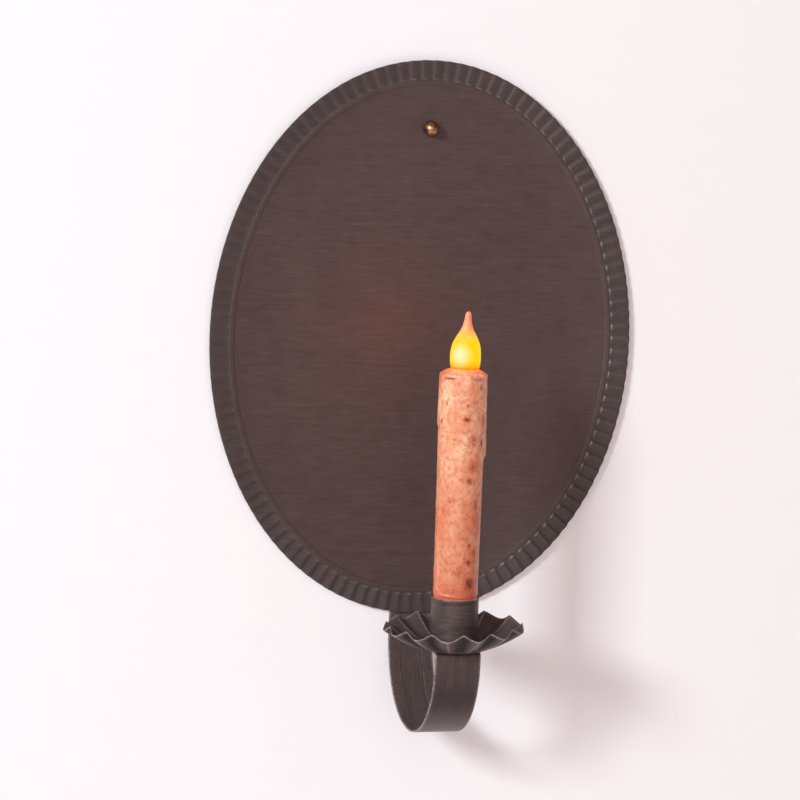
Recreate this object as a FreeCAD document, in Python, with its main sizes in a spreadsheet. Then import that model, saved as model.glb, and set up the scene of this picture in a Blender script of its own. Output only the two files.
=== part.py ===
import FreeCAD, Part
import Sketcher
import math
import os
import re

# A tin candle sconce that hangs on a nail, with a battery candle in its socket.
# Lengths are in millimetres. The origin is on the nail's axis, at the wall's face, where the
# nail's collar stops.
# +Z is up, +Y goes into the wall, and the front of the sconce faces -Y.

App = FreeCAD
os.makedirs("parts", exist_ok=True)
doc = App.newDocument("CandleSconce")

# Driving dimensions: name, size, and what the size is.
SIZES = [
    ("sheet_gauge", 0.5, "thickness of the tinned sheet that the sconce is cut from"),
    ("plate_width", 219.0, "back plate, across the oval"),
    ("plate_height", 278.0, "back plate, along the oval"),
    ("nail_inset", 34.0, "nail's axis below the plate's top edge"),
    ("crimp_count", 122, "crimps round the rim, one to each tooth of the crimping roll"),
    ("crimp_band", 10.0, "width of the crimped band"),
    ("crimp_depth", 0.9, "root to crest of a crimp"),
    ("crimp_runout", 0.9, "length over which a crimp dies into the bead"),
    ("rim_flare", 0.7, "how far the band's outer edge leans forward"),
    ("bead_side", 1.0, "width of the inner slope of the bead along the crimps"),
    ("bead_height", 0.7, "bead's ridge above the ledge"),
    ("ledge_width", 1.3, "ledge between the bead and the step"),
    ("step_width", 0.6, "width of the step's slope"),
    ("step_height", 0.5, "ledge in front of the flat middle"),
    ("hole_radius", 2.2, "hanging hole"),
    ("hang_clearance", 0.05, "gap between the nail's collar and the top of the hole"),
    ("collar_radius", 1.6, "nail's collar, which stops it at the wall's face"),
    ("shank_radius", 1.3, "nail's shank"),
    ("shank_embed", 18.0, "straight shank inside the wall"),
    ("point_length", 4.0, "nail's point"),
    ("point_radius", 0.2, "blunt end of the point"),
    ("head_radius", 3.85, "nail's round head"),
    ("head_back", 0.95, "length of the slope behind the head"),
    ("head_neck", 0.3, "head's back face beyond the collar"),
    ("head_standoff", 2.4, "gap between the plate and the head"),
    ("strap_width", 23.2, "arm, across both hems"),
    ("hem_width", 5.8, "each edge of the strap that is folded back"),
    ("bend_radius", 41.8, "outer face of the arm's U bend"),
    ("front_leg", 2.4, "straight stretch between the U bend and the tab's bend"),
    ("tab_radius", 3.0, "outer face of the bend under the pan"),
    ("tab_length", 24.0, "tab from the front of the arm"),
    ("strap_lap", 43.5, "how far the strap runs up behind the plate"),
    ("tab_inset", 9.0, "pan's axis behind the front of the arm"),
    ("pan_below", 4.9, "pan's floor below the plate's bottom edge"),
    ("pan_radius", 34.0, "pan's mean rim"),
    ("pan_depth", 10.6, "pan's mean rim above its floor"),
    ("floor_margin", 3.8, "flat floor round the socket"),
    ("flute_count", 14, "flutes round the pan"),
    ("flute_depth", 3.4, "root to crest of a flute at the rim"),
    ("flute_turn", 4.7, "angle of the first flute's crest from +X"),
    ("socket_height", 24.9, "candle socket above the pan's floor"),
    ("solder_leg", 1.0, "width of a solder seam"),
    ("solder_height", 0.7, "height of a solder seam on the strap's edge"),
    ("arm_seam", 30.0, "length of the seams behind the plate"),
    ("pan_seam", 14.0, "length of the seams under the pan"),
    ("part_gap", 0.3, "room between pieces that move past each other"),
    ("battery_radius", 7.25, "battery, across"),
    ("battery_length", 50.5, "battery with its button"),
    ("button_length", 1.3, "battery's button"),
    ("button_radius", 2.75, "battery's button, across"),
    ("strip_room", 1.15, "room beside the batteries for the negative strip"),
    ("strip_clearance", 0.15, "negative strip clear of the tube's bore"),
    ("tube_wall", 1.2, "wall of the candle's plastic tube"),
    ("wax_wall", 1.2, "wax on the tube inside the socket"),
    ("wax_foot_swell", 0.2, "wax just above the socket stands out by this"),
    ("wax_head_swell", 0.95, "the same, at the shoulder"),
    ("wax_shoulder", 1.2, "round of the shoulder"),
    ("wax_crown", 2.0, "rise from the shoulder to the flame tip's foot"),
    ("crown_flat", 1.0, "flat of the wax round the flame tip's neck"),
    ("drip_swell", 1.1, "fattest drip beyond the wax"),
    ("wax_top", 2.3, "wax above the tube"),
    ("cap_flange", 2.4, "battery cap's flange, which the candle stands on"),
    ("plug_height", 6.6, "part of the cap inside the tube"),
    ("plug_wall", 1.2, "wall of that part"),
    ("lug_height", 2.0, "bayonet lug"),
    ("lug_rise", 3.0, "lug above the flange"),
    ("lug_reach", 0.8, "lug beyond the tube's bore"),
    ("lug_sweep", 20.0, "angle that a lug covers"),
    ("lug_play", 1.5, "angle of play at each end of a lug's slot"),
    ("cap_turn", 30.0, "angle that the cap turns to unlock"),
    ("contact_gauge", 0.3, "thickness of the spring brass contacts"),
    ("contact_width", 4.0, "width of the contacts' leaves"),
    ("spring_height", 4.7, "height of the battery spring"),
    ("spring_foot", 6.0, "foot of the spring's bow from its middle"),
    ("spring_pad", 2.0, "half the width of the spring's top"),
    ("contact_height", 6.0, "positive contact between battery and board"),
    ("contact_pad", 3.0, "half the length of the pad on the battery"),
    ("contact_foot", 3.5, "length of the foot under the board"),
    ("strip_width", 3.0, "negative strip"),
    ("strip_foot", 1.8, "length of the strip's foot over the spring's end"),
    ("board_thickness", 1.2, "circuit board"),
    ("ledge_height", 1.2, "ledge under the board"),
    ("board_ledge", 0.8, "how far that ledge stands in"),
    ("chip_length", 4.9, "driver chip"),
    ("chip_width", 3.9, "driver chip, across"),
    ("chip_height", 1.5, "driver chip's height"),
    ("chip_offset", 5.0, "chip's middle from the board's middle"),
    ("lead_length", 5.3, "lamp's leads above the board"),
    ("lead_radius", 0.3, "each lead"),
    ("lead_spacing", 2.54, "between the leads"),
    ("lamp_radius", 2.5, "light-emitting diode"),
    ("lamp_height", 8.6, "height of the same"),
    ("lamp_bevel", 1.3, "bevel at its top"),
    ("lamp_sink", 0.4, "lamp's top below the candle's top"),
    ("flame_radius", 7.5, "flame tip at its widest"),
    ("flame_height", 27.8, "flame tip above the candle's top"),
    ("flame_wall", 1.6, "end of the flame tip's hollow above the candle's top"),
    ("lamp_room", 0.6, "room round the lamp in the flame tip"),
    ("neck_radius", 6.0, "flame tip's neck in the tube's top"),
    ("neck_length", 4.4, "length of that neck"),
    ("neck_gap", 0.1, "fit of the neck"),
    ("knob_width", 3.0, "switch knob, across its travel"),
    ("knob_half", 2.0, "half the knob's length"),
    ("knob_stem", 0.8, "half the length of its stem"),
    ("knob_plate", 2.2, "half the length of the plate that keeps it in"),
    ("knob_plate_height", 0.7, "height of that plate"),
    ("knob_play", 0.2, "room round the knob and its stem"),
    ("knob_recess", 1.3, "depth of the recess that the knob slides in"),
    ("knob_travel", 3.0, "off to on"),
    ("cut_overrun", 1.0, "how far a cutting tool runs past a face"),
    ("sew_gap", 0.001, "largest gap closed when faces are joined"),
]

sheet = doc.addObject("Spreadsheet::Sheet", "Sizes")
for row, (alias, size, meaning) in enumerate(SIZES, start=1):
    sheet.set(f"A{row}", alias)
    sheet.set(f"B{row}", str(size))
    sheet.setAlias(f"B{row}", alias)
    sheet.set(f"C{row}", meaning)
doc.recompute()
NAMES = {alias for alias, size, meaning in SIZES}
PARTS = []

# Sizes and places that follow from the driving ones.
NAIL_RISE = "(plate_height / 2 - nail_inset)"
PAN_REACH = "(2 * bend_radius - tab_inset)"
PAN_FLOOR = f"(-{NAIL_RISE} - plate_height / 2 - pan_below)"
PAN_UNDERSIDE = f"({PAN_FLOOR} - sheet_gauge)"
BEND_HEIGHT = f"({PAN_UNDERSIDE} - tab_radius - front_leg)"
STRAP_TOP = f"(-{NAIL_RISE} - plate_height / 2 + strap_lap)"
TUBE_BORE = "(battery_radius + strip_room)"
TUBE_RADIUS = f"({TUBE_BORE} + tube_wall)"
WAX_RADIUS = f"({TUBE_RADIUS} + wax_wall)"
SOCKET_BORE = f"({WAX_RADIUS} + part_gap)"
SOCKET_RADIUS = f"({SOCKET_BORE} + sheet_gauge)"
FLOOR_RADIUS = f"({SOCKET_RADIUS} + floor_margin)"

# Heights in the candle, from the foot of its battery cap.
TUBE_FOOT = "(cap_flange + part_gap)"
PLUG_TOP = "(cap_flange + plug_height)"
SPRING_END = f"({PLUG_TOP} + contact_gauge)"
STRIP_FOOT = f"({SPRING_END} + part_gap)"
BATTERY_FOOT = f"({PLUG_TOP} + spring_height + part_gap)"
BATTERY_TOP = f"({BATTERY_FOOT} + 2 * battery_length)"
BOARD_FOOT = f"({BATTERY_TOP} + contact_height)"
BOARD_TOP = f"({BOARD_FOOT} + board_thickness)"
LAMP_FOOT = f"({BOARD_TOP} + lead_length)"
CANDLE_TOP = f"({LAMP_FOOT} + lamp_height + lamp_sink)"
TUBE_TOP = f"({CANDLE_TOP} - wax_top)"


def bound(expression):
    """Point each size name in an expression at its cell."""
    return re.sub(r"[a-z_]+", lambda found: "Sizes." + found.group() if found.group() in NAMES
                  else found.group(), expression)


def value(expression):
    """Work out an expression of size names."""
    return float(sheet.evalExpression(expression))


def keep(piece, label):
    """Name a finished piece and list it for export."""
    piece.Label = label
    PARTS.append(piece)
    return piece


def bind(thing, **sizes):
    """Tie properties of an object to expressions of size names."""
    for name, expression in sizes.items():
        thing.setExpression(name, bound(expression))


def put(thing, x="0", y="0", z="0"):
    """Tie an object's place to expressions of size names."""
    for axis, expression in (("x", x), ("y", y), ("z", z)):
        thing.setExpression(f"Placement.Base.{axis}", bound(expression))


def on_candle_axis(thing, height="0"):
    """Stand an object on the candle's axis, at a height above the pan's floor."""
    put(thing, y=f"-{PAN_REACH}", z=f"{PAN_FLOOR} + {height}")


def origin_plane(body, role):
    return next(item for item in body.Origin.OriginFeatures if item.Role == role)


def outline(body, name, role, corners, closed=True):
    """Draw an outline on one of a body's own planes.

    A corner is a pair of expressions. A third one is the radius of the arc that runs from it
    to the next corner, and bulges to the right of the way the outline goes, or to the left
    where the radius starts with a minus sign.
    """
    sketch = body.newObject("Sketcher::SketchObject", name)
    sketch.AttachmentSupport = [(origin_plane(body, role), "")]
    sketch.MapMode = "FlatFace"
    spots = [App.Vector(value(corner[0]), value(corner[1]), 0) for corner in corners]
    steps = len(corners) if closed else len(corners) - 1
    for k in range(steps):
        here, there = spots[k], spots[(k + 1) % len(spots)]
        if len(corners[k]) == 2:
            sketch.addGeometry(Part.LineSegment(here, there), False)
            continue
        radius = value(corners[k][2])
        chord = there - here
        half = chord.Length / 2
        right = App.Vector(chord.y, -chord.x, 0).normalize()
        side = math.copysign(1, radius)
        inset = math.sqrt(max(radius * radius - half * half, 0))
        crown = (here + there) / 2 + right * side * (abs(radius) - inset)
        first, last = (here, there) if radius > 0 else (there, here)
        sketch.addGeometry(Part.Arc(first, crown, last), False)
    ends = [end_numbers(sketch.Geometry[k], spots[k]) for k in range(steps)]
    for k in range(steps - 1 + closed):
        follower = (k + 1) % steps
        sketch.addConstraint(Sketcher.Constraint("Coincident", k, ends[k][1], follower,
                                                 ends[follower][0]))
    for k, corner in enumerate(corners):
        edge, end = (k, ends[k][0]) if k < steps else (k - 1, ends[k - 1][1])
        for kind, expression in (("DistanceX", corner[0]), ("DistanceY", corner[1])):
            number = sketch.addConstraint(Sketcher.Constraint(kind, -1, 1, edge, end,
                                                              value(expression)))
            sketch.setExpression(f"Constraints[{number}]", bound(expression))
        if len(corner) == 3:
            radius = corner[2].lstrip("-")
            number = sketch.addConstraint(Sketcher.Constraint("Radius", k, value(radius)))
            sketch.setExpression(f"Constraints[{number}]", bound(radius))
    return sketch


def end_numbers(curve, start):
    """Say which end of a sketched curve is the start, 1 or 2, and which is the other one."""
    turned = curve.EndPoint.distanceToPoint(start) < curve.StartPoint.distanceToPoint(start)
    return (2, 1) if turned else (1, 2)


def new_body(name):
    return doc.addObject("PartDesign::Body", name)


def turned(name, corners):
    """A piece turned about its own Z axis from an outline of radius and height."""
    body = new_body(name)
    sketch = outline(body, f"{name}_outline", "XZ_Plane", corners)
    turn = body.newObject("PartDesign::Revolution", f"{name}_turn")
    turn.Profile = sketch
    turn.ReferenceAxis = (sketch, ["V_Axis"])
    return body


def pressed(name, role, corners, depth):
    """A piece of one outline and an even depth, half of it each side of its plane."""
    body = new_body(name)
    pad = body.newObject("PartDesign::Pad", f"{name}_depth")
    pad.Profile = outline(body, f"{name}_outline", role, corners)
    pad.Midplane = True
    bind(pad, Length=depth)
    return body


def sector(name, radius, height, foot, start=0.0, sweep="360"):
    """A slice of a round bar on the Z axis, from a start angle."""
    slice_bar = doc.addObject("Part::Cylinder", name)
    bind(slice_bar, Radius=radius, Height=height, Angle=sweep)
    slice_bar.Placement = App.Placement(App.Vector(), App.Rotation(App.Vector(0, 0, 1), start))
    put(slice_bar, z=foot)
    return slice_bar


def block(name, length, width, height, x, y, z):
    """A block with its middle at x and y and its foot at z."""
    box = doc.addObject("Part::Box", name)
    bind(box, Length=length, Width=width, Height=height)
    put(box, f"{x} - ({length}) / 2", f"{y} - ({width}) / 2", z)
    return box


def joined(name, pieces):
    union = doc.addObject("Part::MultiFuse", name)
    union.Shapes = pieces
    return union


def cut(name, base, tool):
    result = doc.addObject("Part::Cut", name)
    result.Base = base
    result.Tool = tool
    return result


def formed(name, shape):
    """A piece whose shape is worked out here."""
    feature = doc.addObject("Part::Feature", name)
    feature.Shape = shape
    return feature


def sewn(faces):
    """Join faces into one closed solid."""
    skin = Part.Compound(faces)
    skin.sewShape(value("sew_gap"))
    solid = Part.Solid(skin.Shells[0])
    if solid.Volume < 0:
        solid.reverse()
    return solid


def triangle(a, b, c):
    return Part.Face(Part.makePolygon([a, b, c, a]))


def loop(spots):
    """A closed line through points."""
    return Part.makePolygon(spots + spots[:1])


def skin(rings):
    """Triangles from each ring of points to the next, which has as many points."""
    faces = []
    for lower, upper in zip(rings, rings[1:]):
        for k in range(len(lower)):
            faces.append(triangle(lower[k - 1], lower[k], upper[k]))
            faces.append(triangle(lower[k - 1], upper[k], upper[k - 1]))
    return faces


def stacked(rings):
    """A solid through rings of points, closed by a flat face at each end."""
    return sewn(skin(rings) + [Part.Face(loop(rings[0])), Part.Face(loop(rings[-1]))])


def round_ring(sides, radius, height):
    """Evenly spaced points on a circle about the Z axis."""
    turns = [2 * math.pi * k / sides for k in range(sides)]
    return [App.Vector(radius * math.cos(turn), radius * math.sin(turn), height) for turn in turns]


# Hanging nail: a round head on a collared shank, built up along Z and then laid along +Y.
HEAD_SIDES = 26
HEAD_STEPS = 5


def make_nail():
    radius = value("head_radius")
    back = value("-3 * sheet_gauge - head_standoff")
    middle = back - value("head_back")
    rings = []
    for step in range(1, HEAD_STEPS + 1):
        turn = math.pi / 2 * step / HEAD_STEPS
        rings.append(round_ring(HEAD_SIDES, radius * math.sin(turn),
                                middle - radius * math.cos(turn)))
    rings.append(round_ring(HEAD_SIDES, value("collar_radius + head_neck"), back))
    head = formed("nail_head", stacked(rings))
    shank = turned("nail_shank", [
        ("0", "-3 * sheet_gauge - head_standoff - head_back"),
        ("collar_radius", "-3 * sheet_gauge - head_standoff - head_back"),
        ("collar_radius", "0"),
        ("shank_radius", "0"),
        ("shank_radius", "shank_embed"),
        ("point_radius", "shank_embed + point_length"),
        ("0", "shank_embed + point_length"),
    ])
    nail = joined("nail", [head, shank])
    nail.Placement = App.Placement(App.Vector(), App.Rotation(App.Vector(1, 0, 0), -90))
    keep(nail, "hanging_nail")


# Back plate: the front skin is built face by face, the back skin is the same a gauge behind.
CRIMP_STEEP_SHARE = 0.3
ARC_SAMPLES = 3600


def rim_angles(half_width, half_height, crimps):
    """Angles on the oval of each crimp's root and crest, evenly spaced along the edge.

    From a root the crimp climbs slowly to its crest, and then drops in the steep share of
    its length to the next root.
    """
    lengths = [0.0]
    for k in range(ARC_SAMPLES):
        middle = 2 * math.pi * (k + 0.5) / ARC_SAMPLES
        speed = math.hypot(half_width * math.sin(middle), half_height * math.cos(middle))
        lengths.append(lengths[-1] + speed)
    angles = []
    k = 0
    for crimp in range(crimps):
        for share in (0, 1 - CRIMP_STEEP_SHARE):
            wanted = lengths[-1] * (crimp + share) / crimps
            while lengths[k + 1] < wanted:
                k += 1
            part = (wanted - lengths[k]) / (lengths[k + 1] - lengths[k])
            angles.append(2 * math.pi * (k + part) / ARC_SAMPLES)
    return angles


def oval_point(half_width, half_height, angle, inset, height):
    """A point set in from the oval's edge along its normal, and forward by a height."""
    x, z = half_width * math.cos(angle), half_height * math.sin(angle)
    across, along = half_height * math.cos(angle), half_width * math.sin(angle)
    size = math.hypot(across, along)
    return App.Vector(x - inset * across / size, -height, z - inset * along / size)


def annulus(outer, inner):
    return Part.makeFace([outer, inner], "Part::FaceMakerBullseye")


def crimped_faces(half_width, half_height, angles):
    """The crimped band and the ring of small faces where the crimps die into the bead."""
    band, runout = value("crimp_band"), value("crimp_runout")
    ledge = value("step_height")
    crest = value("step_height + bead_height")
    edge, inner, bead = [], [], []
    for k, angle in enumerate(angles):
        height = ledge + value("crimp_depth") * (k % 2)
        flared = height + value("rim_flare")
        edge.append(oval_point(half_width, half_height, angle, 0, flared))
        inner.append(oval_point(half_width, half_height, angle, band - runout, height))
        if k % 2 == 0:
            bead.append(oval_point(half_width, half_height, angle, band, crest))
    faces = []
    for k in range(len(angles)):
        n = (k + 1) % len(angles)
        faces.append(Part.makeRuledSurface(Part.makeLine(edge[k], edge[n]),
                                           Part.makeLine(inner[k], inner[n])))
        faces.append(triangle(inner[k], inner[n], bead[(k + 1) // 2 % len(bead)]))
        if k % 2 == 0:
            faces.append(triangle(inner[n], bead[(k // 2 + 1) % len(bead)], bead[k // 2]))
    return faces, edge, bead


def make_plate():
    half_width, half_height = value("plate_width / 2"), value("plate_height / 2")
    angles = rim_angles(half_width, half_height, int(value("crimp_count")))
    faces, edge, bead = crimped_faces(half_width, half_height, angles)
    insets = [("crimp_band + bead_side", "step_height", angles[::2]),
              ("crimp_band + bead_side + ledge_width", "step_height", angles[::4]),
              ("crimp_band + bead_side + ledge_width + step_width", "0", angles[::4])]
    ledge_outer, ledge_inner, middle = [
        [oval_point(half_width, half_height, angle, value(inset), value(height))
         for angle in chosen] for inset, height, chosen in insets]
    hole_drop = value("hole_radius - collar_radius - hang_clearance")
    hole_centre = App.Vector(0, 0, value(NAIL_RISE) - hole_drop)
    hole = Part.makeCircle(value("hole_radius"), hole_centre, App.Vector(0, 1, 0))
    faces += skin([bead, ledge_outer]) + skin([ledge_inner, middle])
    faces.append(annulus(loop(ledge_outer), loop(ledge_inner)))
    faces.append(annulus(loop(middle), Part.Wire(hole)))
    behind = App.Vector(0, value("sheet_gauge"), 0)
    back = [face.translated(behind) for face in faces]
    rim = [Part.makeLine(edge[k - 1], edge[k]).extrude(behind) for k in range(len(edge))]
    plate = formed("plate", sewn(faces + back + rim + [hole.extrude(behind)]))
    plate.Placement.Base = App.Vector(0, value("-3 * sheet_gauge"), value(f"-{NAIL_RISE}"))
    keep(plate, "back_plate")


# Arm: one strip with hemmed edges, swept down the wall, round the U and back under the pan.
def make_arm():
    body = new_body("arm")
    path = outline(body, "arm_path", "YZ_Plane", [
        ("0", STRAP_TOP),
        ("0", BEND_HEIGHT, "-bend_radius"),
        ("-bend_radius", f"{BEND_HEIGHT} - bend_radius", "-bend_radius"),
        ("-2 * bend_radius", BEND_HEIGHT),
        ("-2 * bend_radius", f"{PAN_UNDERSIDE} - tab_radius", "-tab_radius"),
        ("-2 * bend_radius + tab_radius", PAN_UNDERSIDE),
        ("-2 * bend_radius + tab_length", PAN_UNDERSIDE),
    ], closed=False)
    half = "(strap_width / 2)"
    hem = "(strap_width / 2 - hem_width)"
    section = outline(body, "arm_section", "XY_Plane", [
        (f"-{half}", "0"),
        (f"-{half}", "-2 * sheet_gauge"),
        (f"-{hem}", "-2 * sheet_gauge"),
        (f"-{hem}", "-sheet_gauge"),
        (hem, "-sheet_gauge"),
        (hem, "-2 * sheet_gauge"),
        (half, "-2 * sheet_gauge"),
        (half, "0"),
    ])
    section.setExpression("AttachmentOffset.Base.z", bound(STRAP_TOP))
    doc.recompute()
    sweep = body.newObject("PartDesign::AdditivePipe", "arm_sweep")
    sweep.Profile = section
    sweep.Spine = (path, [f"Edge{k + 1}" for k in range(len(path.Geometry))])
    keep(body, "arm_strap")


# Drip pan: a round dish whose wall is drawn into flutes that deepen towards the rim.
PAN_RING_SHARES = (0.0, 0.4, 0.7, 1.0)
PAN_SLOPE_SHARE = 0.6
FLUTE_CRISP_SHARE = 0.25
FLUTE_GROWTH_POWER = 1.3
FLUTE_SPOTS = 8


def pan_ring(share, lift):
    """Points round the pan, at a share of the way from its floor to its rim."""
    inner, outer = value(FLOOR_RADIUS), value("pan_radius")
    count = int(value("flute_count"))
    height = value("pan_depth") * (PAN_SLOPE_SHARE * share + (1 - PAN_SLOPE_SHARE) * share ** 2)
    swing = value("flute_depth") / 2 * share ** FLUTE_GROWTH_POWER
    spots = []
    for k in range(count * FLUTE_SPOTS):
        phase = 2 * math.pi * k / FLUTE_SPOTS
        wave = math.cos(phase) + FLUTE_CRISP_SHARE * math.cos(2 * phase)
        angle = math.radians(value("flute_turn")) + phase / count
        radius = inner + (outer - inner) * share - swing * wave / 2
        spots.append(App.Vector(radius * math.cos(angle), radius * math.sin(angle),
                                height + swing * wave + lift))
    return spots


def make_pan():
    under = [pan_ring(share, value("-sheet_gauge")) for share in PAN_RING_SHARES]
    over = [pan_ring(share, 0) for share in PAN_RING_SHARES]
    pan = formed("pan", stacked(under + over[::-1]))
    pan.Placement.Base = App.Vector(0, value(f"-{PAN_REACH}"), value(PAN_FLOOR))
    keep(pan, "drip_pan")


# Candle socket: a sheet tube that stands on the pan's floor.
def make_socket():
    body = turned("socket", [
        (SOCKET_BORE, "0"),
        (SOCKET_RADIUS, "0"),
        (SOCKET_RADIUS, "socket_height"),
        (SOCKET_BORE, "socket_height"),
    ])
    on_candle_axis(body)
    keep(body, "candle_socket")


# Solder seams: a fillet along each edge of the strap where it meets the plate and the pan.
def seam_pair(name, role, away, length, x, y, z):
    """Two seams along the strap's edges, mirror images of each other.

    The away sign says which way the strap's edge stands off the sheet that it is soldered to.
    """
    seams = []
    for side, sign in (("left", "-"), ("right", "")):
        corners = [
            (f"{sign}(strap_width / 2)", "0"),
            (f"{sign}(strap_width / 2 + solder_leg)", "0"),
            (f"{sign}(strap_width / 2)", f"{away}solder_height"),
        ]
        seam = pressed(f"{name}_{side}", role, corners, length)
        put(seam, x, y, z)
        seams.append(seam)
    group = doc.addObject("Part::Compound", name)
    group.Links = seams
    return group


def make_strap_solder():
    behind_plate = seam_pair("arm_seams", "XY_Plane", "", "arm_seam", "0",
                             "-2 * sheet_gauge", f"{STRAP_TOP} - arm_seam / 2")
    keep(behind_plate, "arm_solder")
    under_pan = seam_pair("pan_seams", "XZ_Plane", "-", "pan_seam", "0",
                          f"-{PAN_REACH}", PAN_UNDERSIDE)
    keep(under_pan, "pan_solder")


# Wax coat: dipped wax over the candle's tube, with a round shoulder and drips that ran down it.
WAX_SIDES = 36
WAX_SWELL_POWER = 1.6
WAX_RING_SHARES = (0.0, 0.4, 0.62, 0.68, 0.76, 0.8, 0.86, 0.96, 1.0)
SHOULDER_STEPS = 2
# Each drip's middle, foot, fattest place, top, half width and swell, all as shares: the middle
# and the half width of a full turn, the swell of the drip swell, and the rest of the way up.
DRIP_SHARES = [
    (-0.045, 0.625, 0.68, 0.98, 0.10, 1.0),
    (0.455, 0.765, 0.79, 0.99, 0.12, 0.55),
    (0.71, 0.8, 0.85, 1.0, 0.09, 0.6),
]


def drip_bulge(angle, share):
    """How far the drips swell the wax at an angle and a share of the way up."""
    bulge = 0.0
    for middle, foot, fattest, top, half_width, swell in DRIP_SHARES:
        away = abs(math.remainder(angle - 2 * math.pi * middle, 2 * math.pi))
        reach = 2 * math.pi * half_width
        if away < reach and foot < share < top:
            along = min((share - foot) / (fattest - foot), (top - share) / (top - fattest))
            bulge += value("drip_swell") * swell * along * math.cos(math.pi / 2 * away / reach) ** 2
    return bulge


def wax_ring(share):
    """Points round the wax, at a share of the way from the socket to the shoulder."""
    foot, head = value("wax_foot_swell"), value("wax_head_swell")
    low = value("socket_height + part_gap")
    high = value(f"{CANDLE_TOP} - wax_crown - wax_shoulder")
    side = value(WAX_RADIUS) + foot + (head - foot) * share ** WAX_SWELL_POWER
    spots = []
    for k in range(WAX_SIDES):
        angle = 2 * math.pi * k / WAX_SIDES
        radius = side + drip_bulge(angle, share)
        spots.append(App.Vector(radius * math.cos(angle), radius * math.sin(angle),
                                low + (high - low) * share))
    return spots


def make_wax():
    side, head = value(WAX_RADIUS), value(f"{WAX_RADIUS} + wax_head_swell")
    shoulder, crown = value("wax_shoulder"), value("wax_crown")
    rings = [round_ring(WAX_SIDES, side, value(TUBE_FOOT)),
             round_ring(WAX_SIDES, side, value("socket_height"))]
    rings += [wax_ring(share) for share in WAX_RING_SHARES]
    for step in range(1, SHOULDER_STEPS + 1):
        turn = math.pi / 2 * step / SHOULDER_STEPS
        radius = head - shoulder * (1 - math.cos(turn))
        height = value(CANDLE_TOP) - crown - shoulder * (1 - math.sin(turn))
        rings.append(round_ring(WAX_SIDES, radius, height))
    rings.append(round_ring(WAX_SIDES, value("neck_radius + crown_flat"), value(CANDLE_TOP)))
    outside = formed("wax_outside", stacked(rings))
    bore = sector("wax_bore", TUBE_RADIUS, TUBE_TOP, "0")
    mouth = sector("wax_mouth", "neck_radius + neck_gap", f"{CANDLE_TOP} + cut_overrun", "0")
    wax = cut("wax", outside, joined("wax_hollow", [bore, mouth]))
    on_candle_axis(wax)
    keep(wax, "wax_coat")


# Candle tube: closed above but for the flame tip's neck, with a ledge for the board.
def make_tube():
    ledge_bore = f"({TUBE_BORE} - board_ledge)"
    body = turned("tube", [
        (TUBE_BORE, TUBE_FOOT),
        (TUBE_RADIUS, TUBE_FOOT),
        (TUBE_RADIUS, TUBE_TOP),
        ("neck_radius + neck_gap", TUBE_TOP),
        ("neck_radius + neck_gap", f"{TUBE_TOP} - tube_wall"),
        (TUBE_BORE, f"{TUBE_TOP} - tube_wall"),
        (TUBE_BORE, BOARD_FOOT),
        (ledge_bore, BOARD_FOOT),
        (ledge_bore, f"{BOARD_FOOT} - ledge_height"),
        (TUBE_BORE, f"{BOARD_FOOT} - ledge_height"),
    ])
    slots = [block("strip_way", "2 * board_ledge", "strip_width + 2 * part_gap",
                   "ledge_height + 2 * sew_gap", ledge_bore, "0",
                   f"{BOARD_FOOT} - ledge_height - sew_gap")]
    run_foot = "(cap_flange + lug_rise - part_gap)"
    run_height = "(lug_height + 2 * part_gap)"
    for side, start in (("front", 0.0), ("rear", 180.0)):
        slots.append(sector(f"{side}_run", TUBE_RADIUS, run_height, run_foot,
                            start - value("lug_play"), "lug_sweep + cap_turn + 2 * lug_play"))
        slots.append(sector(f"{side}_entry", TUBE_RADIUS, f"{run_foot} + {run_height}", "0",
                            start + value("cap_turn - lug_play"), "lug_sweep + 2 * lug_play"))
    tube = cut("slotted_tube", body, joined("tube_slots", slots))
    on_candle_axis(tube)
    keep(tube, "candle_tube")


# Flame tip: a hollow teardrop over the lamp, with a neck that fits the tube's top.
FLAME_SIDES = 26
FLAME_OUTLINE_SHARES = [(0.95, 0.0), (1.0, 0.17), (0.96, 0.35), (0.79, 0.49), (0.57, 0.6),
                        (0.39, 0.71), (0.28, 0.83), (0.2, 0.94), (0.08, 1.0)]


def make_flame():
    top, radius, height = value(CANDLE_TOP), value("flame_radius"), value("flame_height")
    teardrop = formed("teardrop", stacked([
        round_ring(FLAME_SIDES, radius * wide, top + height * high)
        for wide, high in FLAME_OUTLINE_SHARES]))
    neck_foot = f"({CANDLE_TOP} - neck_length)"
    neck = sector("flame_neck", "neck_radius", "neck_length", neck_foot)
    hollow = sector("lamp_hollow", "lamp_radius + lamp_room",
                    "neck_length + flame_wall + cut_overrun", f"{neck_foot} - cut_overrun")
    flame = cut("flame", joined("necked_flame", [teardrop, neck]), hollow)
    on_candle_axis(flame)
    keep(flame, "flame_tip")


# Lamp: a light-emitting diode on two leads that stand on the board.
LAMP_SIDES = 24


def make_lamp():
    radius, bevel = value("lamp_radius"), value("lamp_bevel")
    foot, top = value(LAMP_FOOT), value(f"{LAMP_FOOT} + lamp_height")
    bulb = formed("lamp_bulb", stacked([
        round_ring(LAMP_SIDES, radius, foot),
        round_ring(LAMP_SIDES, radius, top - bevel),
        round_ring(LAMP_SIDES, radius - bevel, top)]))
    leads = []
    for side, sign in (("left", "-"), ("right", "")):
        lead = sector(f"{side}_lead", "lead_radius", "lead_length", BOARD_TOP)
        put(lead, x=f"{sign}lead_spacing / 2", z=BOARD_TOP)
        leads.append(lead)
    lamp = joined("lamp", [bulb] + leads)
    on_candle_axis(lamp)
    keep(lamp, "flame_lamp")


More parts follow.
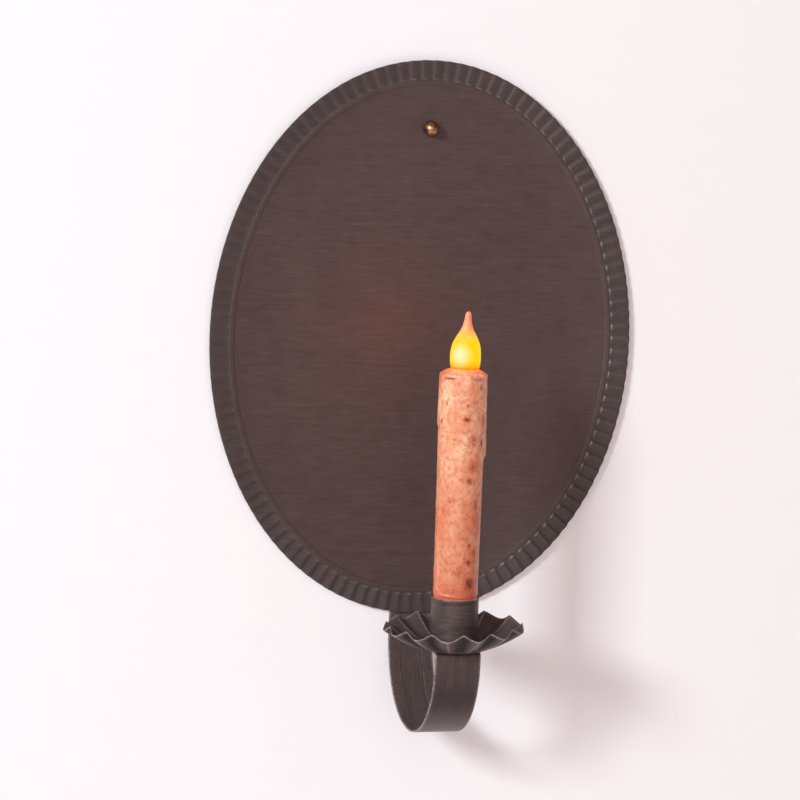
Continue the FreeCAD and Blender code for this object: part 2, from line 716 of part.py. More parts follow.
# Circuit board and its driver chip.
def make_board():
    board = doc.addObject("Part::Cylinder", "board")
    bind(board, Radius=f"{TUBE_BORE} - part_gap", Height="board_thickness")
    on_candle_axis(board, BOARD_FOOT)
    keep(board, "circuit_board")
    chip = block("chip", "chip_length", "chip_width", "chip_height", "0",
                 f"chip_offset - {PAN_REACH}", f"{PAN_FLOOR} + {BOARD_TOP}")
    keep(chip, "driver_chip")


# Positive contact: a bent leaf from the board to the upper battery's button.
def make_positive_contact():
    leaf = pressed("leaf", "XZ_Plane", [
        ("-contact_pad", "0"),
        ("contact_pad", "0"),
        ("contact_pad", "contact_height - contact_gauge"),
        ("contact_pad + contact_foot", "contact_height - contact_gauge"),
        ("contact_pad + contact_foot", "contact_height"),
        ("contact_pad - contact_gauge", "contact_height"),
        ("contact_pad - contact_gauge", "contact_gauge"),
        ("-contact_pad", "contact_gauge"),
    ], "contact_width")
    on_candle_axis(leaf, BATTERY_TOP)
    keep(leaf, "positive_contact")


# Two round batteries, one on the other, buttons up.
def make_batteries():
    for count, label in enumerate(("battery_lower", "battery_upper")):
        case = "battery_length - button_length"
        cell = turned(f"cell_{count}", [
            ("0", "0"),
            ("battery_radius", "0"),
            ("battery_radius", case),
            ("button_radius", case),
            ("button_radius", "battery_length"),
            ("0", "battery_length"),
        ])
        on_candle_axis(cell, f"{BATTERY_FOOT} + {count} * battery_length")
        keep(cell, label)


# Negative strip: runs up the bore from the contact spring's end to the board.
def make_strip():
    outer = f"({TUBE_BORE} - strip_clearance)"
    strip = pressed("strip", "XZ_Plane", [
        (outer, STRIP_FOOT),
        (outer, BOARD_FOOT),
        (f"{outer} - contact_gauge", BOARD_FOOT),
        (f"{outer} - contact_gauge", f"{STRIP_FOOT} + contact_gauge"),
        (f"{outer} - strip_foot", f"{STRIP_FOOT} + contact_gauge"),
        (f"{outer} - strip_foot", STRIP_FOOT),
    ], "strip_width")
    on_candle_axis(strip)
    keep(strip, "negative_strip")


# Battery cap: a flanged cup with two bayonet lugs and a recess for the switch.
def make_cap():
    plug_radius = f"({TUBE_BORE} - part_gap)"
    plug_bore = f"({plug_radius} - plug_wall)"
    cup = turned("cup", [
        ("0", "0"),
        (f"{WAX_RADIUS} - part_gap", "0"),
        (f"{WAX_RADIUS} - part_gap", "cap_flange"),
        (plug_radius, "cap_flange"),
        (plug_radius, PLUG_TOP),
        (plug_bore, PLUG_TOP),
        (plug_bore, "cap_flange"),
        ("0", "cap_flange"),
    ])
    lugs = [sector(f"{side}_lug", f"{TUBE_BORE} + lug_reach", "lug_height",
                   "cap_flange + lug_rise", start, "lug_sweep")
            for side, start in (("front", 0.0), ("rear", 180.0))]
    core = sector("lug_core", f"{plug_bore} + plug_wall / 2", "lug_height",
                  "cap_flange + lug_rise")
    lug_ring = cut("lugs", joined("lug_slices", lugs), core)
    recess = block("recess", "2 * knob_half + knob_travel + 2 * knob_play",
                   "knob_width + 2 * knob_play", "knob_recess + cut_overrun",
                   "-knob_travel / 2", "0", "-cut_overrun")
    slot = block("slot", "2 * knob_stem + knob_travel + 2 * knob_play",
                 "knob_width + 2 * knob_play", "cap_flange + cut_overrun",
                 "-knob_travel / 2", "0", "0")
    cap = cut("cap", joined("lugged_cup", [cup, lug_ring]), joined("switch_room", [recess, slot]))
    on_candle_axis(cap)
    keep(cap, "battery_cap")


# Contact spring: a leaf across the cap's plug, bowed up under the lower battery.
def make_contact_spring():
    reach = f"({TUBE_BORE} - 2 * part_gap)"
    leaf = pressed("bowed_leaf", "XZ_Plane", [
        (f"-{reach}", "0"),
        ("contact_gauge - spring_foot", "0"),
        ("contact_gauge / 2 - spring_pad", "spring_height - contact_gauge"),
        ("spring_pad - contact_gauge / 2", "spring_height - contact_gauge"),
        ("spring_foot - contact_gauge", "0"),
        (reach, "0"),
        (reach, "contact_gauge"),
        ("spring_foot", "contact_gauge"),
        ("spring_pad", "spring_height"),
        ("-spring_pad", "spring_height"),
        ("-spring_foot", "contact_gauge"),
        (f"-{reach}", "contact_gauge"),
    ], "contact_width")
    on_candle_axis(leaf, PLUG_TOP)
    keep(leaf, "contact_spring")


# Switch knob: slides in the cap's recess, kept in by a plate above the slot.
def make_knob():
    plate_foot = "(cap_flange + knob_play)"
    knob = pressed("knob", "XZ_Plane", [
        ("-knob_half", "knob_play"),
        ("knob_half", "knob_play"),
        ("knob_half", "knob_recess - knob_play"),
        ("knob_stem", "knob_recess - knob_play"),
        ("knob_stem", plate_foot),
        ("knob_plate", plate_foot),
        ("knob_plate", f"{plate_foot} + knob_plate_height"),
        ("-knob_plate", f"{plate_foot} + knob_plate_height"),
        ("-knob_plate", plate_foot),
        ("-knob_stem", plate_foot),
        ("-knob_stem", "knob_recess - knob_play"),
        ("-knob_half", "knob_recess - knob_play"),
    ], "knob_width")
    on_candle_axis(knob)
    keep(knob, "switch_knob")


for make in (make_nail, make_plate, make_arm, make_pan, make_socket, make_strap_solder, make_wax,
             make_tube, make_flame, make_lamp, make_board, make_positive_contact, make_batteries,
             make_strip, make_cap, make_contact_spring, make_knob):
    make()
doc.recompute()

for thing in doc.Objects:
    if {"Invalid", "Error"} & set(thing.State):
        raise RuntimeError(f"{thing.Label} did not build: {thing.State}")
for piece in PARTS:
    if piece.Shape.isNull() or not piece.Shape.isValid():
        raise RuntimeError(f"{piece.Label} has no valid shape")
for piece in PARTS:
    piece.Shape.exportStep(f"parts/{piece.Label}.step")
    box = piece.Shape.BoundBox
    print(f"{piece.Label}: {len(piece.Shape.Solids)} solids, {piece.Shape.Volume:.1f} mm3, "
          f"x {box.XMin:.1f} {box.XMax:.1f}, y {box.YMin:.1f} {box.YMax:.1f}, "
          f"z {box.ZMin:.1f} {box.ZMax:.1f}")
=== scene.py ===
# %% [markdown]
# # A crimped tin sconce with a battery candle
#
# The CAD model gives every piece its size and place. This lesson dresses it: the sheet metal
# gets smooth crimps, rolled edges and hand-brushed black paint, the candle gets drips and
# ground spice in its wax, and the flame tip gets its glow. Loading the CAD model comes first,
# so that every later size can be read from its boxes.

import bpy
import numpy as np
from mathutils import Matrix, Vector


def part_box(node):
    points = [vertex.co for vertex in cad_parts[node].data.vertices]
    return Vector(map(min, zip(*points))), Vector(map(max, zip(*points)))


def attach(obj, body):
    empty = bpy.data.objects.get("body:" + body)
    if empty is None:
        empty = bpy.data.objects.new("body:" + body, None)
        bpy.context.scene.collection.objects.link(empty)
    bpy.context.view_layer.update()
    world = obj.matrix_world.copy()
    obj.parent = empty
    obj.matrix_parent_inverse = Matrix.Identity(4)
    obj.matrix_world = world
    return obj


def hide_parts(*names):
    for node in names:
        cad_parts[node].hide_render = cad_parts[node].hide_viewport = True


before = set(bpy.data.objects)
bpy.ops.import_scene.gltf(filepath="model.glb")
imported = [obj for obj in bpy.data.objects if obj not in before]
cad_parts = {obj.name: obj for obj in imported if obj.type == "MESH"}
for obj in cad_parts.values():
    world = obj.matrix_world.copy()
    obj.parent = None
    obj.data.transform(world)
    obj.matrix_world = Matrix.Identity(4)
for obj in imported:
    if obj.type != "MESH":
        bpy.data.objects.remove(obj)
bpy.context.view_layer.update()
mm = 0.001

# %% [markdown]
# ## One helper for every surface
#
# Each new piece is a grid of points: one direction runs round or along the piece, the other
# follows its outline. Such a grid is worked out as one array, and a mesh needs only the list
# of its squares. A ring that closes on itself joins its last row to its first. A ring that
# doesn't close gets a flat cap at each end. The sign of the enclosed volume tells whether the
# squares face outwards.

# %% A closed mesh from a grid of points
SHARP_ANGLE = np.radians(40)


def grid_faces(rows, columns, wrap_rows):
    """Squares between neighbouring points: row r to r + 1, column c to c + 1, wrapped."""
    row = np.arange(rows if wrap_rows else rows - 1)[:, None]
    column = np.arange(columns)[None, :]
    next_row, next_column = (row + 1) % rows, (column + 1) % columns
    corners = [row * columns + column, next_row * columns + column,
               next_row * columns + next_column, row * columns + next_column]
    return np.stack(np.broadcast_arrays(*corners), axis=-1).reshape(-1, 4)


def enclosed_volume(points, faces):
    """Six times the volume inside, as the sum of the corner products of fans of triangles."""
    flat = points.reshape(-1, 3)
    first = flat[[face[0] for face in faces]]
    total = 0.0
    for k in (1, 2):
        second = flat[[face[k] for face in faces]]
        third = flat[[face[k + 1] if k + 1 < len(face) else face[k] for face in faces]]
        total += np.einsum("ij,ij->", first, np.cross(second, third))
    return total


def closed_mesh(name, points, wrap_rows=False, marks=None, sharp=SHARP_ANGLE):
    """A smooth closed mesh: the grid's squares, plus a flat cap on each open end."""
    rows, columns = points.shape[:2]
    squares = grid_faces(rows, columns, wrap_rows)
    if enclosed_volume(points, squares) < 0:
        squares = squares[:, ::-1]
    faces = squares.tolist()
    if not wrap_rows:
        first, last = list(range(columns)), list(range((rows - 1) * columns, rows * columns))
        outward = squares[0][1] < squares[0][0] or squares[0][1] >= columns
        faces += [first, last[::-1]] if outward else [first[::-1], last]
    mesh = bpy.data.meshes.new(name)
    mesh.from_pydata(points.reshape(-1, 3).tolist(), [], faces)
    for mark, amounts in (marks or {}).items():
        values = np.broadcast_to(amounts, (rows, columns)).astype(np.float32)
        mesh.attributes.new(mark, "FLOAT", "POINT").data.foreach_set("value", values.ravel())
    mesh.shade_smooth()
    mesh.set_sharp_from_angle(angle=float(sharp))
    mesh.validate()
    piece = bpy.data.objects.new(name, mesh)
    bpy.context.scene.collection.objects.link(piece)
    print(f"{name}: {len(mesh.vertices)} points")
    return piece


def turned_about(axis_x, axis_y, radii, heights, columns):
    """A grid turned about an upright axis: a point is radius times (cos, sin), and a height."""
    turn = np.linspace(0, 2 * np.pi, columns, endpoint=False)
    radii, heights = np.asarray(radii, float), np.asarray(heights, float)
    return np.stack([axis_x + radii[:, None] * np.cos(turn),
                     axis_y + radii[:, None] * np.sin(turn),
                     np.broadcast_to(heights[:, None], (len(radii), columns))], axis=-1)


def arc(start, end, count):
    """Angles in degrees from start to end, as radians."""
    return np.radians(np.linspace(start, end, count))


def fit(piece, material, body, slot, *nodes):
    """Give a piece its material and body, hide the CAD nodes it stands for; slot is not used."""
    piece.data.materials.append(material)
    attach(piece, body)
    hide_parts(*nodes)

# %% [markdown]
# ## Helpers for materials
#
# A procedural material is a small tree of nodes. These short helpers add a node, fill its
# inputs, and hand back the output that the next node reads, so that a material reads as a few
# lines of plain sums.

# %% Node helpers
def node(tree, kind, inputs=(), **settings):
    """Add a node, set its options, then link or fill its inputs."""
    made = tree.nodes.new("ShaderNode" + kind)
    for option, setting in settings.items():
        setattr(made, option, setting)
    for place, given in dict(inputs).items():
        if isinstance(given, bpy.types.NodeSocket):
            tree.links.new(given, made.inputs[place])
        else:
            made.inputs[place].default_value = given
    return made


def sum_of(tree, operation, first, second=0.0, clamp=False):
    """One step of arithmetic on two numbers."""
    return node(tree, "Math", {0: first, 1: second}, operation=operation,
                use_clamp=clamp).outputs[0]


def blend_of(tree, share, first, second):
    """Mix two colours by a share."""
    return node(tree, "Mix", {0: share, 6: first, 7: second}, data_type="RGBA").outputs[2]


def stretch(tree, amount, low, high, new_low=0.0, new_high=1.0):
    """Map a range of numbers onto another, held at its ends."""
    return node(tree, "MapRange", {"Value": amount, "From Min": low, "From Max": high,
                                   "To Min": new_low, "To Max": new_high}).outputs[0]


def scaled(tree, place, scale):
    """A place stretched along its axes, so that noise read there is drawn out."""
    return node(tree, "Mapping", {"Vector": place, "Scale": scale}).outputs[0]


def cloud(tree, place, scale, detail=3.0, rough=0.55):
    """Noise from 0 to 1, most of it near a half."""
    return node(tree, "TexNoise", {"Vector": place, "Scale": scale, "Detail": detail,
                                   "Roughness": rough}).outputs[0]


def own_place(tree):
    """The place on the piece itself, which moves along with it."""
    return node(tree, "TexCoord").outputs["Object"]


def mark_of(tree, name):
    """A number painted on the piece's own points; nought on a piece that has none."""
    return node(tree, "Attribute", attribute_name=name).outputs["Fac"]


def new_material(name):
    """A material with its tree and its Principled shader."""
    material = bpy.data.materials.new(name)
    material.use_nodes = True
    return material, material.node_tree, material.node_tree.nodes["Principled BSDF"]


def colour(red, green, blue):
    """A colour written as it looks on a screen, from 0 to 255, turned into light."""
    share = np.array([red, green, blue]) / 255
    light = np.where(share <= 0.04045, share / 12.92, ((share + 0.055) / 1.055) ** 2.4)
    return (*light.tolist(), 1.0)


def group(name, inputs, outputs):
    """An empty node group with named sockets, and its two end nodes."""
    tree = bpy.data.node_groups.new(name, "ShaderNodeTree")
    for label, kind in inputs:
        tree.interface.new_socket(name=label, in_out="INPUT", socket_type="NodeSocket" + kind)
    for label, kind in outputs:
        tree.interface.new_socket(name=label, in_out="OUTPUT", socket_type="NodeSocket" + kind)
    return tree, tree.nodes.new("NodeGroupInput"), tree.nodes.new("NodeGroupOutput")

# %% [markdown]
# ## Hand-brushed black paint
#
# The sheet is tinplate under a dark brown-black paint that was wiped on by hand, so fine
# lines run along each piece, soft cloudy patches change its tone, and the paint thins to a
# pale worn line on the edges. All the tin pieces share this look but not its direction. So it
# is one node group whose line scale is an input: a large number across the lines and a small
# one along them. Two numbers that each mesh carries on its points mix the paint towards a pale
# tone and towards a darker paint. The pale tone is worn edges and painted highlights, and the
# darker paint is painted shade, painted reflections and a few plain darker bands and lines.

# %% The brushed paint group
paint_group, paint_in, paint_out = group(
    "Brushed paint",
    [("Place", "Vector"), ("Line Scale", "Vector"), ("Contrast", "Float"), ("Wear And Highlight", "Float"),
     ("Darkened", "Float"), ("Paint", "Color"), ("Darkened Tint", "Color"), ("Pale Colour", "Color")],
    [("Colour", "Color"), ("Roughness", "Float"), ("Height", "Float")])
tree = paint_group
place, contrast = paint_in.outputs["Place"], paint_in.outputs["Contrast"]
lines = scaled(tree, place, paint_in.outputs["Line Scale"])
fine_lines = cloud(tree, lines, 1.0, 4.0, 0.7)
broad_lines = cloud(tree, lines, 0.3, 2.0, 0.5)
patches = cloud(tree, place, 26.0, 4.0, 0.6)
both_lines = sum_of(tree, "ADD", sum_of(tree, "MULTIPLY", fine_lines, 0.9),
                    sum_of(tree, "MULTIPLY", broad_lines, 0.1))
tone = stretch(tree, both_lines, 0.32, 0.68, sum_of(tree, "SUBTRACT", 1.0, contrast),
               sum_of(tree, "ADD", 1.0, contrast))
blotches = cloud(tree, place, 150.0, 2.0, 0.5)
patch_tone = sum_of(tree, "MULTIPLY", stretch(tree, patches, 0.3, 0.7, 0.93, 1.07),
                    stretch(tree, blotches, 0.3, 0.7, 0.95, 1.05))
# Towards the darker paint by the darkened mark: painted shade and painted reflections.
darkened_paint = node(tree, "VectorMath",
                   {0: paint_in.outputs["Paint"], 1: paint_in.outputs["Darkened Tint"]},
                   operation="MULTIPLY").outputs[0]
paint = blend_of(tree, paint_in.outputs["Darkened"], paint_in.outputs["Paint"], darkened_paint)
toned = node(tree, "VectorMath", {0: paint,
                                  "Scale": sum_of(tree, "MULTIPLY", tone, patch_tone)},
             operation="SCALE").outputs[0]
# Towards the pale tone by the wear and highlight mark: worn edges and painted highlights.
flecks = stretch(tree, cloud(tree, place, 900.0, 3.0, 0.7), 0.35, 0.6)
wear_and_highlight = sum_of(tree, "MULTIPLY", paint_in.outputs["Wear And Highlight"], flecks, clamp=True)
tree.links.new(blend_of(tree, wear_and_highlight, toned, paint_in.outputs["Pale Colour"]),
               paint_out.inputs["Colour"])
tree.links.new(stretch(tree, both_lines, 0.3, 0.7, 0.36, 0.52), paint_out.inputs["Roughness"])
tree.links.new(both_lines, paint_out.inputs["Height"])
print("Brushed paint group:", len(tree.nodes), "nodes")

# %% A tin material for each direction of brushing
# The pale tone of worn edges and of painted highlights.
PALE_MARK = colour(160, 144, 146)
LINE_DEPTH = 0.04 * mm


def brushed_tin(name, line_scale, contrast, paint, darkened_tint, metallic=0.25, gloss=0.5):
    """Black-painted tin, brushed along the axis with the smallest line scale."""
    material, tree, shader = new_material(name)
    look = node(tree, "Group", {
        "Place": own_place(tree), "Line Scale": line_scale, "Contrast": contrast,
        "Wear And Highlight": mark_of(tree, "wear_and_highlight"), "Darkened": mark_of(tree, "darkened"), "Paint": paint,
        "Darkened Tint": (*darkened_tint, 1.0), "Pale Colour": PALE_MARK}, node_tree=paint_group)
    tree.links.new(look.outputs["Colour"], shader.inputs["Base Color"])
    tree.links.new(look.outputs["Roughness"], shader.inputs["Roughness"])
    bump = node(tree, "Bump", {"Height": look.outputs["Height"], "Strength": 0.35,
                               "Distance": LINE_DEPTH})
    tree.links.new(bump.outputs[0], shader.inputs["Normal"])
    shader.inputs["Metallic"].default_value = metallic
    shader.inputs["Specular IOR Level"].default_value = gloss
    return material


# Noise cells in a metre across and along the brush lines, and in the pan's dull coat.
ACROSS, ALONG, DULL = 1700.0, 100.0, 240.0
plate_tin = brushed_tin("tin brushed sideways", (ALONG, ACROSS, ACROSS), 0.23,
                        colour(82, 62, 59), (0.80, 0.92, 0.96))
strap_tin = brushed_tin("tin brushed along the strap", (ACROSS, ALONG, ALONG), 0.32,
                        colour(84, 66, 63), (0.42, 0.38, 0.37))
cup_tin = brushed_tin("tin brushed round the cup", (ALONG, ALONG, ACROSS), 0.55,
                      colour(86, 67, 64), (0.75, 0.75, 0.75))
pan_tin = brushed_tin("tin of the pan", (DULL, DULL, DULL), 0.18,
                      colour(84, 68, 66), (0.20, 0.20, 0.21), metallic=0.0, gloss=0.12)

# %% [markdown]
# ## The crimped back plate
#
# The real plate is cut from sheet and run through a crimping roll, which presses even teeth
# into its rim and a bead line inside them. A grid suits it: one direction runs round the
# oval, evenly by length so that the teeth keep one width, and the other runs from the nail
# hole out to the edge and back on the rear side. The height of a point is the product of the
# tooth's saw shape and a share that says how far inside the band the point lies. The roll
# gripped the sheet less at the upper left, and the lower right was bent a little off the wall.
# The rim's band is painted darker and cooler, with painted shade in its valleys and on its outer
# edge towards the lower right, away from the light. The bead lines and the teeth's inner noses
# are painted pale, as painted highlights.

# %% Sizes of the plate
plate_low, plate_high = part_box("back_plate")
HALF_WIDTH = (plate_high.x - plate_low.x) / 2
HALF_HEIGHT = (plate_high.z - plate_low.z) / 2
PLATE_MIDDLE = (plate_high.z + plate_low.z) / 2
SHEET = 0.5 * mm
PLATE_BACK = plate_high.y
PLATE_FRONT = PLATE_BACK - SHEET
CRIMPS, SAMPLES = 122, 12
CRIMP_DEPTH, CRIMP_BAND, CRIMP_RUNOUT = 0.9 * mm, 10 * mm, 0.9 * mm
RIM_FLARE, STEP_HEIGHT, BEAD_HEIGHT = 1.0 * mm, 0.45 * mm, 0.13 * mm
HOLE_RADIUS, HOLE_CENTRE = 2.2 * mm, -0.55 * mm
SAW_SHARES = ([0.0, 0.10, 0.30, 0.58, 0.70, 0.80, 0.92, 1.0],
              [0.0, 0.05, 0.42, 0.94, 1.00, 0.70, 0.10, 0.0])
CRIMP_START = 0.5
# The share of the full depth to which the crimps were pressed, and its mean and swing round the
# rim, which is deepest towards the lower right.
PRESSED_SHARE, GRIP_MEAN, GRIP_SWING = 0.6, 0.8, 0.2
LOWER_RIGHT_ANGLE = np.radians(-38)
SCALLOP, SCALLOP_REACH = 0.15 * mm, 4 * mm
STAND_OFF = 2.1 * mm
# Insets over which the rim's band fades from darker to plain, and how much darker the band is,
# with painted shade in its valleys and on its outer edge towards the lower right.
DARK_BAND_INSETS = (9 * mm, 12.6 * mm)
BAND_DARKENING, VALLEY_SHADE, EDGE_SHADE = 0.85, 0.2, 0.5
# The rings between the nail hole and the rim's band, as shares of the way.
HOLE_RINGS = np.array([0, 0.03, 0.3, 0.7])


def even_angles(count):
    """Angles on the oval whose points lie evenly along its edge, from its summed length."""
    fine = np.linspace(0, 2 * np.pi, 20001)
    speed = np.hypot(HALF_WIDTH * np.sin(fine), HALF_HEIGHT * np.cos(fine))
    length = np.concatenate([[0], np.cumsum((speed[1:] + speed[:-1]) / 2)])
    return np.interp(np.linspace(0, length[-1], count, endpoint=False), length, fine)


def plate_rows():
    """Inset from the edge, height, share of crimp and share of painted highlight, from middle to
    edge.
    """
    flat = CRIMP_BAND - CRIMP_RUNOUT
    step, bead = STEP_HEIGHT, STEP_HEIGHT + BEAD_HEIGHT
    # The step, the bead, the teeth's rounded noses, and then the flared teeth to the edge.
    rows = [(12.9, 0, 0, 0), (12.75, 0.06 * step, 0, 0), (12.6, 0.5 * step, 0, 0.03),
            (12.45, 0.92 * step, 0, 0.05), (12.3, step, 0, 0.02), (11.6, step, 0, 0),
            (11.4, step + 0.05 * mm, 0, 0), (11.1, 0.45 * step + 0.55 * bead, 0, 0.02),
            (10.85, 0.1 * step + 0.9 * bead, 0, 0.02), (10.65, bead, 0, 0.04),
            (10.45, 0.1 * step + 0.9 * bead, 0, 0.02), (10.2, 0.55 * step + 0.45 * bead, 0, 0),
            (9.95, step, 0.03, 0), (9.7, step, 0.16, 0.3), (9.4, step, 0.5, 0.75),
            (9.1, step, 0.84, 0.75), (8.85, step, 0.97, 0.3), (8.6, step, 1, 0.08)]
    rows = [(inset * mm, height, share, highlight) for inset, height, share, highlight in rows]
    for inset, drop, share in ((6, 0, 1), (3, 0, 1), (1.2, 0, 1), (0.4, 0.03, 0.92),
                               (0, 0.12, 0.8)):
        inset *= mm
        rows.append((inset, step + RIM_FLARE * (1 - inset / flat) - drop * mm, share, 0.08))
    return np.array(rows)


def oval(angle, inset):
    """Points set in from the oval's edge along its normal."""
    across, along = HALF_HEIGHT * np.cos(angle), HALF_WIDTH * np.sin(angle)
    size = np.hypot(across, along)
    return (HALF_WIDTH * np.cos(angle) - inset * across / size,
            PLATE_MIDDLE + HALF_HEIGHT * np.sin(angle) - inset * along / size)


def by_ring(amounts):
    """Amounts on the rim's rings as a column, with nought on the rings next to the hole."""
    return np.concatenate([np.zeros(HOLE_RINGS.size), amounts])[:, None]

# %% Build the plate
angle = even_angles(CRIMPS * SAMPLES)
tooth = np.interp((np.arange(angle.size) / SAMPLES - CRIMP_START) % 1, *SAW_SHARES)
rows = plate_rows()
inset, height, crimped, highlight = rows.T
worked_edge = np.interp(inset, [0, SCALLOP_REACH], [SCALLOP, 0])[:, None]
x, z = oval(angle[None, :], inset[:, None] + worked_edge * (1 - tooth))
toward_lower_right = np.cos(angle - LOWER_RIGHT_ANGLE)
grip = GRIP_MEAN + GRIP_SWING * toward_lower_right
lift = height[:, None] + PRESSED_SHARE * CRIMP_DEPTH * crimped[:, None] * (grip * tooth)
side = np.hypot(x[0], z[0] - HOLE_CENTRE)
hole_x = HOLE_RADIUS * x[0] / side
hole_z = HOLE_CENTRE + HOLE_RADIUS * (z[0] - HOLE_CENTRE) / side
x = np.concatenate([hole_x + HOLE_RINGS[:, None] * (x[0] - hole_x), x])
z = np.concatenate([hole_z + HOLE_RINGS[:, None] * (z[0] - hole_z), z])
lift = np.concatenate([np.zeros((HOLE_RINGS.size, angle.size)), lift])
toward_right = np.clip(x / HALF_WIDTH, 0, 1) ** 1.5
toward_foot = np.clip(0.25 - 0.9 * (z - PLATE_MIDDLE) / HALF_HEIGHT, 0, 1)
lift = lift + STAND_OFF * toward_right * toward_foot
front = np.stack([x, PLATE_FRONT - lift, z], axis=-1)
rear = front + np.array([0, SHEET, 0])
plate_grid = np.concatenate([front, rear[::-1]])
# Painted highlights: pale lines on the step and the bead, and pale dots on the teeth's inner
# noses, strongest where the teeth are pressed deepest.
line_highlight, nose_highlight = by_ring(highlight * (inset > CRIMP_BAND)), by_ring(highlight * (inset < CRIMP_BAND))
plate_highlight = line_highlight + nose_highlight * (grip * tooth) ** 2
band = by_ring(np.interp(inset, DARK_BAND_INSETS, [1, 0]))
edge = by_ring(np.interp(inset, [0, DARK_BAND_INSETS[0]], [1, 0]))
# The darker band, with painted shade in the valleys and on the outer edge towards the lower
# right, the side away from the light.
plate_darkening = (band * (BAND_DARKENING + VALLEY_SHADE * (1 - tooth))
              + EDGE_SHADE * edge * np.clip(toward_lower_right, 0, 1))
plate = closed_mesh("crimped_plate", plate_grid, wrap_rows=True,
                    marks={"wear_and_highlight": np.concatenate([plate_highlight, plate_highlight[::-1]]),
                           "darkened": np.concatenate([plate_darkening, plate_darkening[::-1]])})
fit(plate, plate_tin, "sconce", "tin", "back_plate")

# %% [markdown]
# ## The strap
#
# The arm is one strip whose edges are folded back on themselves, so that they are safe to
# touch and stiff. It runs down behind the plate, round a wide U and back under the pan. A
# profile carried along a path makes it: the profile is the folded strip seen end on, and the
# path is straight runs and arcs in the upright plane through the candle. A darker band across
# the front of the U is a painted reflection, and the run by the wall is painted a little paler.

# %% The strap's path and profile
strap_low, strap_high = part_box("arm_strap")
pan_low, pan_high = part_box("drip_pan")
STRAP_HALF = (strap_high.x - strap_low.x) / 2
BEND_RADIUS = -strap_low.y / 2
BEND_HEIGHT = strap_low.z + BEND_RADIUS
HEM_WIDTH, TAB_RADIUS, TAB_LENGTH = 5.8 * mm, 3 * mm, 24 * mm
# The painted reflection's middle and half width, in degrees round the U, and the wall's paleness.
DARK_PLACE, DARK_HALF, WALL_PALENESS = 27, 17, 0.06


def strap_path():
    """Places (y, z) of the outer face and the way in from it, from the wall to the tab."""
    down = np.linspace(strap_high.z, BEND_HEIGHT, 12)[:-1]
    turn = arc(0, 180, 97)
    up = np.linspace(BEND_HEIGHT, pan_low.z - TAB_RADIUS, 3)[1:-1]
    corner = arc(180, 90, 10)
    back = np.linspace(strap_low.y + TAB_RADIUS, strap_low.y + TAB_LENGTH, 6)[1:]
    places = np.concatenate([
        np.stack([0 * down, down], 1),
        np.stack([BEND_RADIUS * (np.cos(turn) - 1), BEND_HEIGHT - BEND_RADIUS * np.sin(turn)], 1),
        np.stack([0 * up + strap_low.y, up], 1),
        np.stack([strap_low.y + TAB_RADIUS * (1 + np.cos(corner)),
                  pan_low.z - TAB_RADIUS * (1 - np.sin(corner))], 1),
        np.stack([back, 0 * back + pan_low.z], 1)])
    inward = np.concatenate([
        np.tile([-1.0, 0.0], (down.size, 1)), np.stack([-np.cos(turn), np.sin(turn)], 1),
        np.tile([1.0, 0.0], (up.size, 1)), np.stack([-np.cos(corner), -np.sin(corner)], 1),
        np.tile([0.0, -1.0], (back.size, 1))])
    return places, inward


def strap_profile():
    """Half of the folded strip, as (distance from its middle, depth, wear)."""
    nose, flat, inner = arc(-90, 90, 9), STRAP_HALF - SHEET, STRAP_HALF - HEM_WIDTH
    # The outer face, the round fold, the hem to its raw edge, and the single sheet inside it.
    points = [(0.3 * flat, 0, 0), (0.8 * flat, 0, 0), (flat - 0.5 * mm, 0, 0.06)]
    points += [(flat + SHEET * np.cos(turn), SHEET * (1 + np.sin(turn)), 0.8) for turn in nose]
    points += [(flat - 0.5 * mm, 2 * SHEET, 0.06), (inner + 0.6 * mm, 2 * SHEET, 0.0),
               (inner + 0.3 * mm, 2 * SHEET, 0.25), (inner + 0.08 * mm, 1.95 * SHEET, 0.4),
               (inner, 1.7 * SHEET, 0.3),
               (inner, 1.05 * SHEET, 0), (inner - 0.4 * mm, SHEET, 0), (0.3 * inner, SHEET, 0)]
    return np.array(points)

# %% Build the strap
places, inward = strap_path()
half = strap_profile()
profile = np.concatenate([half, half[::-1] * [-1, 1, 1]])
run = places[:, None, :] + profile[None, :, 1, None] * inward[:, None, :]
across = np.broadcast_to(profile[:, 0], run.shape[:2])
strap_grid = np.concatenate([across[..., None], run], axis=-1)
bend_place = np.degrees(np.arctan2(BEND_HEIGHT - places[:, 1], -BEND_RADIUS - places[:, 0]))
in_front = places[:, 0] < -BEND_RADIUS
by_wall = places[:, 0] > -BEND_RADIUS
# A dark band across the front of the U, a painted reflection.
dark_reflection_band = np.exp(-((np.where(in_front, bend_place, -180) - DARK_PLACE) / DARK_HALF) ** 2)
strap = closed_mesh("hemmed_strap", strap_grid,
                    marks={"wear_and_highlight": profile[:, 2] + WALL_PALENESS * by_wall[:, None],
                           "darkened": dark_reflection_band[:, None]})
fit(strap, strap_tin, "sconce", "tin", "arm_strap")

# %% [markdown]
# ## The fluted drip pan
#
# The pan is a disc whose wall was bent into flutes by hand: the crests are crisp and the
# valleys between them are round, both deepen towards the rim, and no two are quite the same
# width. Its grid runs round the pan and from the floor to the rim, first on the underside, then
# over the rim and back inside. The wave falls from a crest by a power of the half turn's sine,
# which gives a crisp crest and a round valley, and a list of the crests' angles makes it as
# uneven as the real one. The wall also stands a little higher on the right than on the left.
# The crests are worn on both faces, and the inner crests are painted paler still, as painted
# highlights. Under the crests the underside is painted darker, as painted shade.

